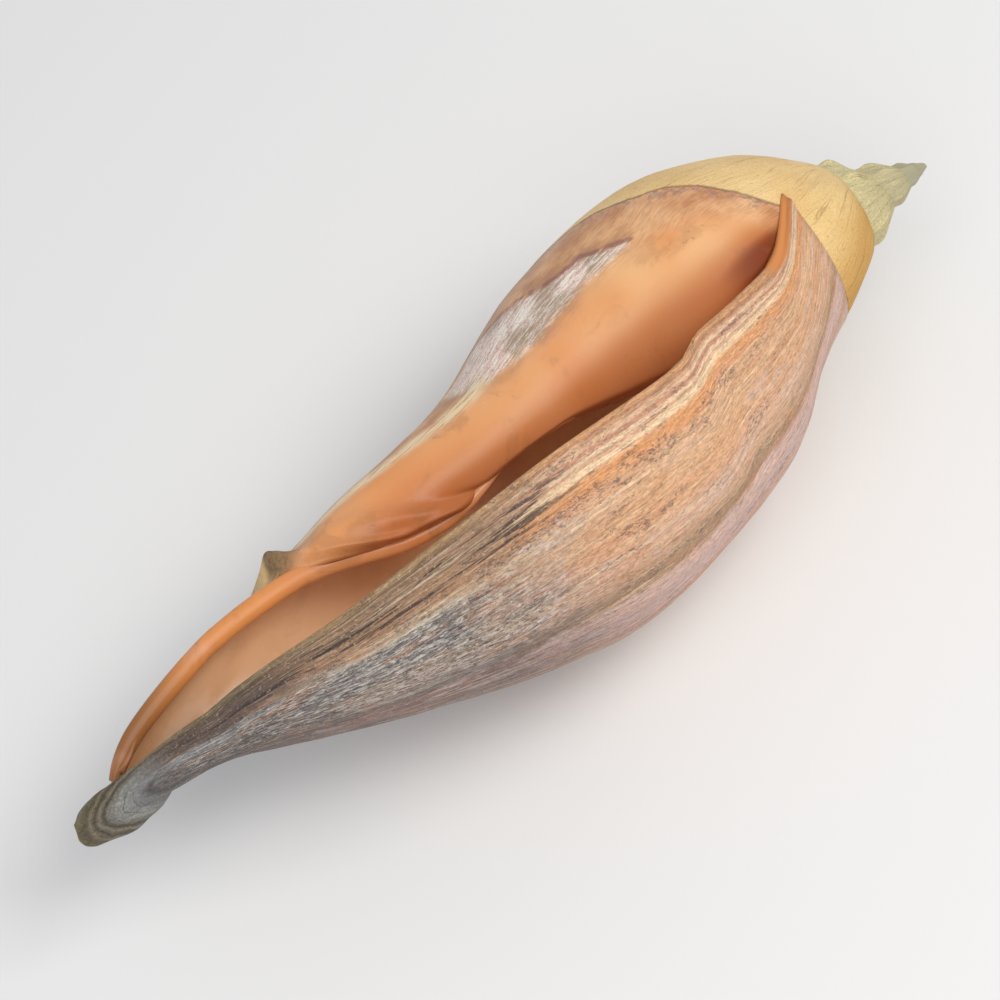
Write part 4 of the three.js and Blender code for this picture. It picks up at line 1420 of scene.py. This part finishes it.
@dataclass(frozen=True)
class ShellFinish:
    """The whole shell's finish: which of its finishes lies where, how rough it is and its relief."""

    outer: OuterFinish = OuterFinish()
    early: EarlyFinish = EarlyFinish()
    glaze: GlazeFinish = GlazeFinish()
    relief_depth: float = 0.0004
    ragged: Grain = Grain(0.35)
    lip: Grain = Grain(0.5, 0.06, 4.0, 0.6)
    patchy: Grain = Grain(0.3, 0.12, 4.0, 0.6)
    bony: Grain = Grain(0.5, None, 5.0, 0.75)
    grain: Grain = Grain(1.5, 0.5, 5.0, 0.8, 0.6)
    gloss: Grain = Grain(0.1, None, 2.0)
    lines: Grain = Grain(0.9, 0.02, 4.0, 0.62)
    pits: Grain = Grain(1.1, None, 4.0, 0.7)

    def build(self) -> bpy.types.Material:
        """Makes the material.

        Returns:
            The material.
        """
        material = bpy.data.materials.new("shell")
        n = Nodes(material)
        edge = n.plus(n.read("edge_mm"), n.sway(n.noise(self.ragged), 1.6))
        lip = n.span(n.math("MULTIPLY_ADD", n.noise(self.lip), 0.5, n.read("bevel")), 0.42, 0.86)
        glazed = n.math("MAXIMUM", n.span(edge, -0.4, 0.4), lip)
        cream = n.times(n.read("cream"), n.span(n.noise(self.patchy), 0.3, 0.55))
        glaze = n.laid(self.glaze.colour(n), (self.glaze.bevel, n.span(lip, 0.0, 0.5)))
        bone = n.laid(self.glaze.bone, (self.glaze.stain, n.span(n.noise(self.bony), 0.42, 0.66)))
        colour = n.laid(
            self.outer.colour(n),
            (self.early.colour(n), n.read("early")),
            (glaze, glazed),
            (self.glaze.edge, n.span(n.math("ABSOLUTE", edge), 1.0, 0.2), 0.6),
            (self.glaze.cream, cream, 0.85),
            (bone, n.read("fasciole")),
        )
        shader, output = n.add("BsdfPrincipled"), n.add("OutputMaterial")
        n.set(output.inputs["Surface"], shader.outputs[0])
        n.set(shader.inputs["Base Color"], colour)
        # Less specular where the painted shade lies, so that no highlight shows there
        n.set(shader.inputs["Specular IOR Level"], n.span(n.read("deep_shade"), 0.0, 0.5, 0.42, 0.06))
        self.surface(n, shader, n.times(glazed, n.span(n.read("fasciole"), 0.0, 0.5, 1.0, 0.0)))
        return material

    def surface(self, n: Nodes, shader: bpy.types.Node, shine: Socket) -> None:
        """Sets how rough the surface is, and its fine relief.

        Args:
            n: The material's nodes.
            shader: The shader.
            shine: 1 where it is glazed.
        """
        grain, lines, pits = (n.noise(each) for each in (self.grain, self.lines, self.pits))
        dull = n.math("MULTIPLY_ADD", grain, 0.3, 0.4)
        gloss = n.math("MULTIPLY_ADD", n.noise(self.gloss), 0.14, 0.18)
        gloss = n.plus(gloss, n.span(n.read("callus_mm"), 4.0, -8.0, 0.0, 0.16))
        n.set(shader.inputs["Roughness"], n.between(shine, dull, gloss))
        worn = n.plus(n.times(lines, 1.6), n.times(grain, 0.5), n.times(pits, 0.35))
        crackle = n.times(n.span(n.read("patch_mm"), -4.0, 2.0), n.times(pits, 0.5))
        smooth = n.math("MULTIPLY_ADD", lines, 0.12, crackle)
        n.set(shader.inputs["Normal"], n.relief(n.between(shine, worn, smooth), self.relief_depth))


@dataclass(frozen=True)
class FloorFinish:
    """A plain pale floor."""

    colour: Colour = (0.80, 0.79, 0.77)
    roughness: float = 0.6

    def build(self) -> bpy.types.Material:
        """Makes the material.

        Returns:
            The material.
        """
        material = bpy.data.materials.new("floor")
        material.use_nodes = True
        shader = material.node_tree.nodes["Principled BSDF"]
        shader.inputs["Base Color"].default_value = (*self.colour, 1.0)
        shader.inputs["Roughness"].default_value = self.roughness
        return material


def put(name: str, data: bpy.types.ID) -> bpy.types.Object:
    """Puts an object in the scene.

    Args:
        name: Its name.
        data: Its mesh, light or camera.

    Returns:
        The object.
    """
    thing = bpy.data.objects.new(name, data)
    bpy.context.scene.collection.objects.link(thing)
    return thing


@dataclass
class Shell:
    """The shell as one fine mesh."""

    growth: Growth
    lie: Lie
    finish: ShellFinish
    name: str = "shell_fine"
    floor_height: float = 0.0

    def build(self) -> bpy.types.Object:
        """Makes the object, in place of the CAD node.

        Returns:
            The object.
        """
        points, quads, values = Walls(self.growth).build()
        placed = self.lie.points(points)
        placed[:, 2] = np.maximum(placed[:, 2], self.floor_height)
        mesh = bpy.data.meshes.new(self.name)
        mesh.from_pydata(placed.tolist(), [], quads.tolist())
        self.store(mesh, Paints().masks(points, values), values["height"])
        mesh.shade_smooth()
        mesh.materials.append(self.finish.build())
        shell = put(self.name, mesh)
        log.info("%s: %d points, %d triangles", self.name, len(points), 2 * len(quads))
        return shell

    def store(self, mesh: bpy.types.Mesh, masks: dict[str, Array], height: Array) -> None:
        """Writes what the finish reads to the mesh.

        Args:
            mesh: The mesh.
            masks: The values by name.
            height: Heights of the points on the axis.
        """
        flow = np.stack([-masks["age_mm"], -height, np.zeros_like(height)], -1)
        attribute = mesh.attributes.new("flow", "FLOAT_VECTOR", "POINT")
        attribute.data.foreach_set("vector", np.asarray(flow, np.float32).ravel())
        for name, values in masks.items():
            attribute = mesh.attributes.new(name, "FLOAT", "POINT")
            attribute.data.foreach_set("value", np.asarray(values, np.float32))


@dataclass(frozen=True)
class Lamp:
    """A soft square light: where it hangs and its side in metres, its watts and its colour."""

    name: str
    place: Triple
    side: float
    power: float
    colour: Colour


@dataclass
class Studio:
    """The floor, the soft lights and the camera."""

    lie: Lie
    distance: float = 1300.0
    scale: float = 0.34
    look_down: float = 15.0
    roll: float = 35.0
    middle_height: float = -190.0
    raised_pixels: float = 38.7
    picture: int = 1000
    half_floor: float = 4.0
    film_width: float = 36.0
    aim: Triple = (0.0, 0.0, 0.06)
    key: Lamp = Lamp("key", (0.8, -0.6, 1.45), 0.9, 15.0, (1.0, 0.98, 0.95))
    fill: Lamp = Lamp("fill", (-0.5, -0.7, 1.45), 1.4, 10.0, (0.98, 0.99, 1.0))
    sky: Colour = (0.9, 0.93, 1.0)
    sky_strength: float = 0.5

    def floor(self, finish: FloorFinish) -> bpy.types.Object:
        """Makes the floor.

        Args:
            finish: Its finish.

        Returns:
            The floor.
        """
        mesh = bpy.data.meshes.new("floor")
        half = self.half_floor
        corners = [(-half, -half, 0), (half, -half, 0), (half, half, 0), (-half, half, 0)]
        mesh.from_pydata(corners, [], [(0, 1, 2, 3)])
        mesh.materials.append(finish.build())
        return put("floor", mesh)

    def camera(self) -> None:
        """Makes the camera at the photograph's angle."""
        down, roll = math.radians(self.look_down), math.radians(self.roll)
        forward = Vector((0, math.cos(down), math.sin(down)))
        right = Vector((1, 0, 0))
        up = right.cross(forward)
        across = math.cos(roll) * up + math.sin(roll) * right
        upward = math.sin(roll) * up - math.cos(roll) * right
        spot = Vector((0, 0, self.middle_height)) - self.distance * forward
        axes = [self.lie.direction(axis) for axis in (across, upward, -forward)]
        place = Vector(self.lie.points(np.array([spot]))[0])
        data = bpy.data.cameras.new("camera")
        data.sensor_width = self.film_width
        data.angle = 2 * math.atan(0.5 * self.picture * self.scale / self.distance)
        data.shift_y = -self.raised_pixels / self.picture
        camera = put("camera", data)
        camera.matrix_world = Matrix.Translation(place) @ Matrix(axes).transposed().to_4x4()
        bpy.context.scene.camera = camera

    def light(self, lamp: Lamp) -> None:
        """Adds a light that faces the shell.

        Args:
            lamp: The light.
        """
        data = bpy.data.lights.new(lamp.name, "AREA")
        data.shape = "SQUARE"
        data.size = lamp.side
        data.energy = lamp.power
        data.color = lamp.colour
        spot = Vector(lamp.place)
        turned = (Vector(self.aim) - spot).to_track_quat("-Z", "Y").to_matrix().to_4x4()
        put(lamp.name, data).matrix_world = Matrix.Translation(spot) @ turned

    def build(self) -> None:
        """Makes the whole studio."""
        self.camera()
        self.floor(FloorFinish())
        self.light(self.key)
        self.light(self.fill)
        world = bpy.data.worlds.new("studio")
        world.use_nodes = True
        background = world.node_tree.nodes["Background"]
        background.inputs["Color"].default_value = (*self.sky, 1.0)
        background.inputs["Strength"].default_value = self.sky_strength
        bpy.context.scene.world = world
        bpy.context.scene.view_settings.view_transform = "Standard"


def plain(bounds: Iterable) -> list[list[float]]:
    """Two corners as plain lists of numbers."""
    return [[float(value) for value in corner] for corner in bounds]


def main() -> None:
    """Builds the scene, piece by piece."""
    logging.basicConfig(level=logging.INFO, format="%(name)s: %(message)s")
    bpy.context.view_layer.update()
    lie = Lie()
    Studio(lie).build()
    shell = Shell(Growth(), lie, ShellFinish()).build()
    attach(shell, "root")
    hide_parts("shell")


if __name__ == "__main__":
    main()
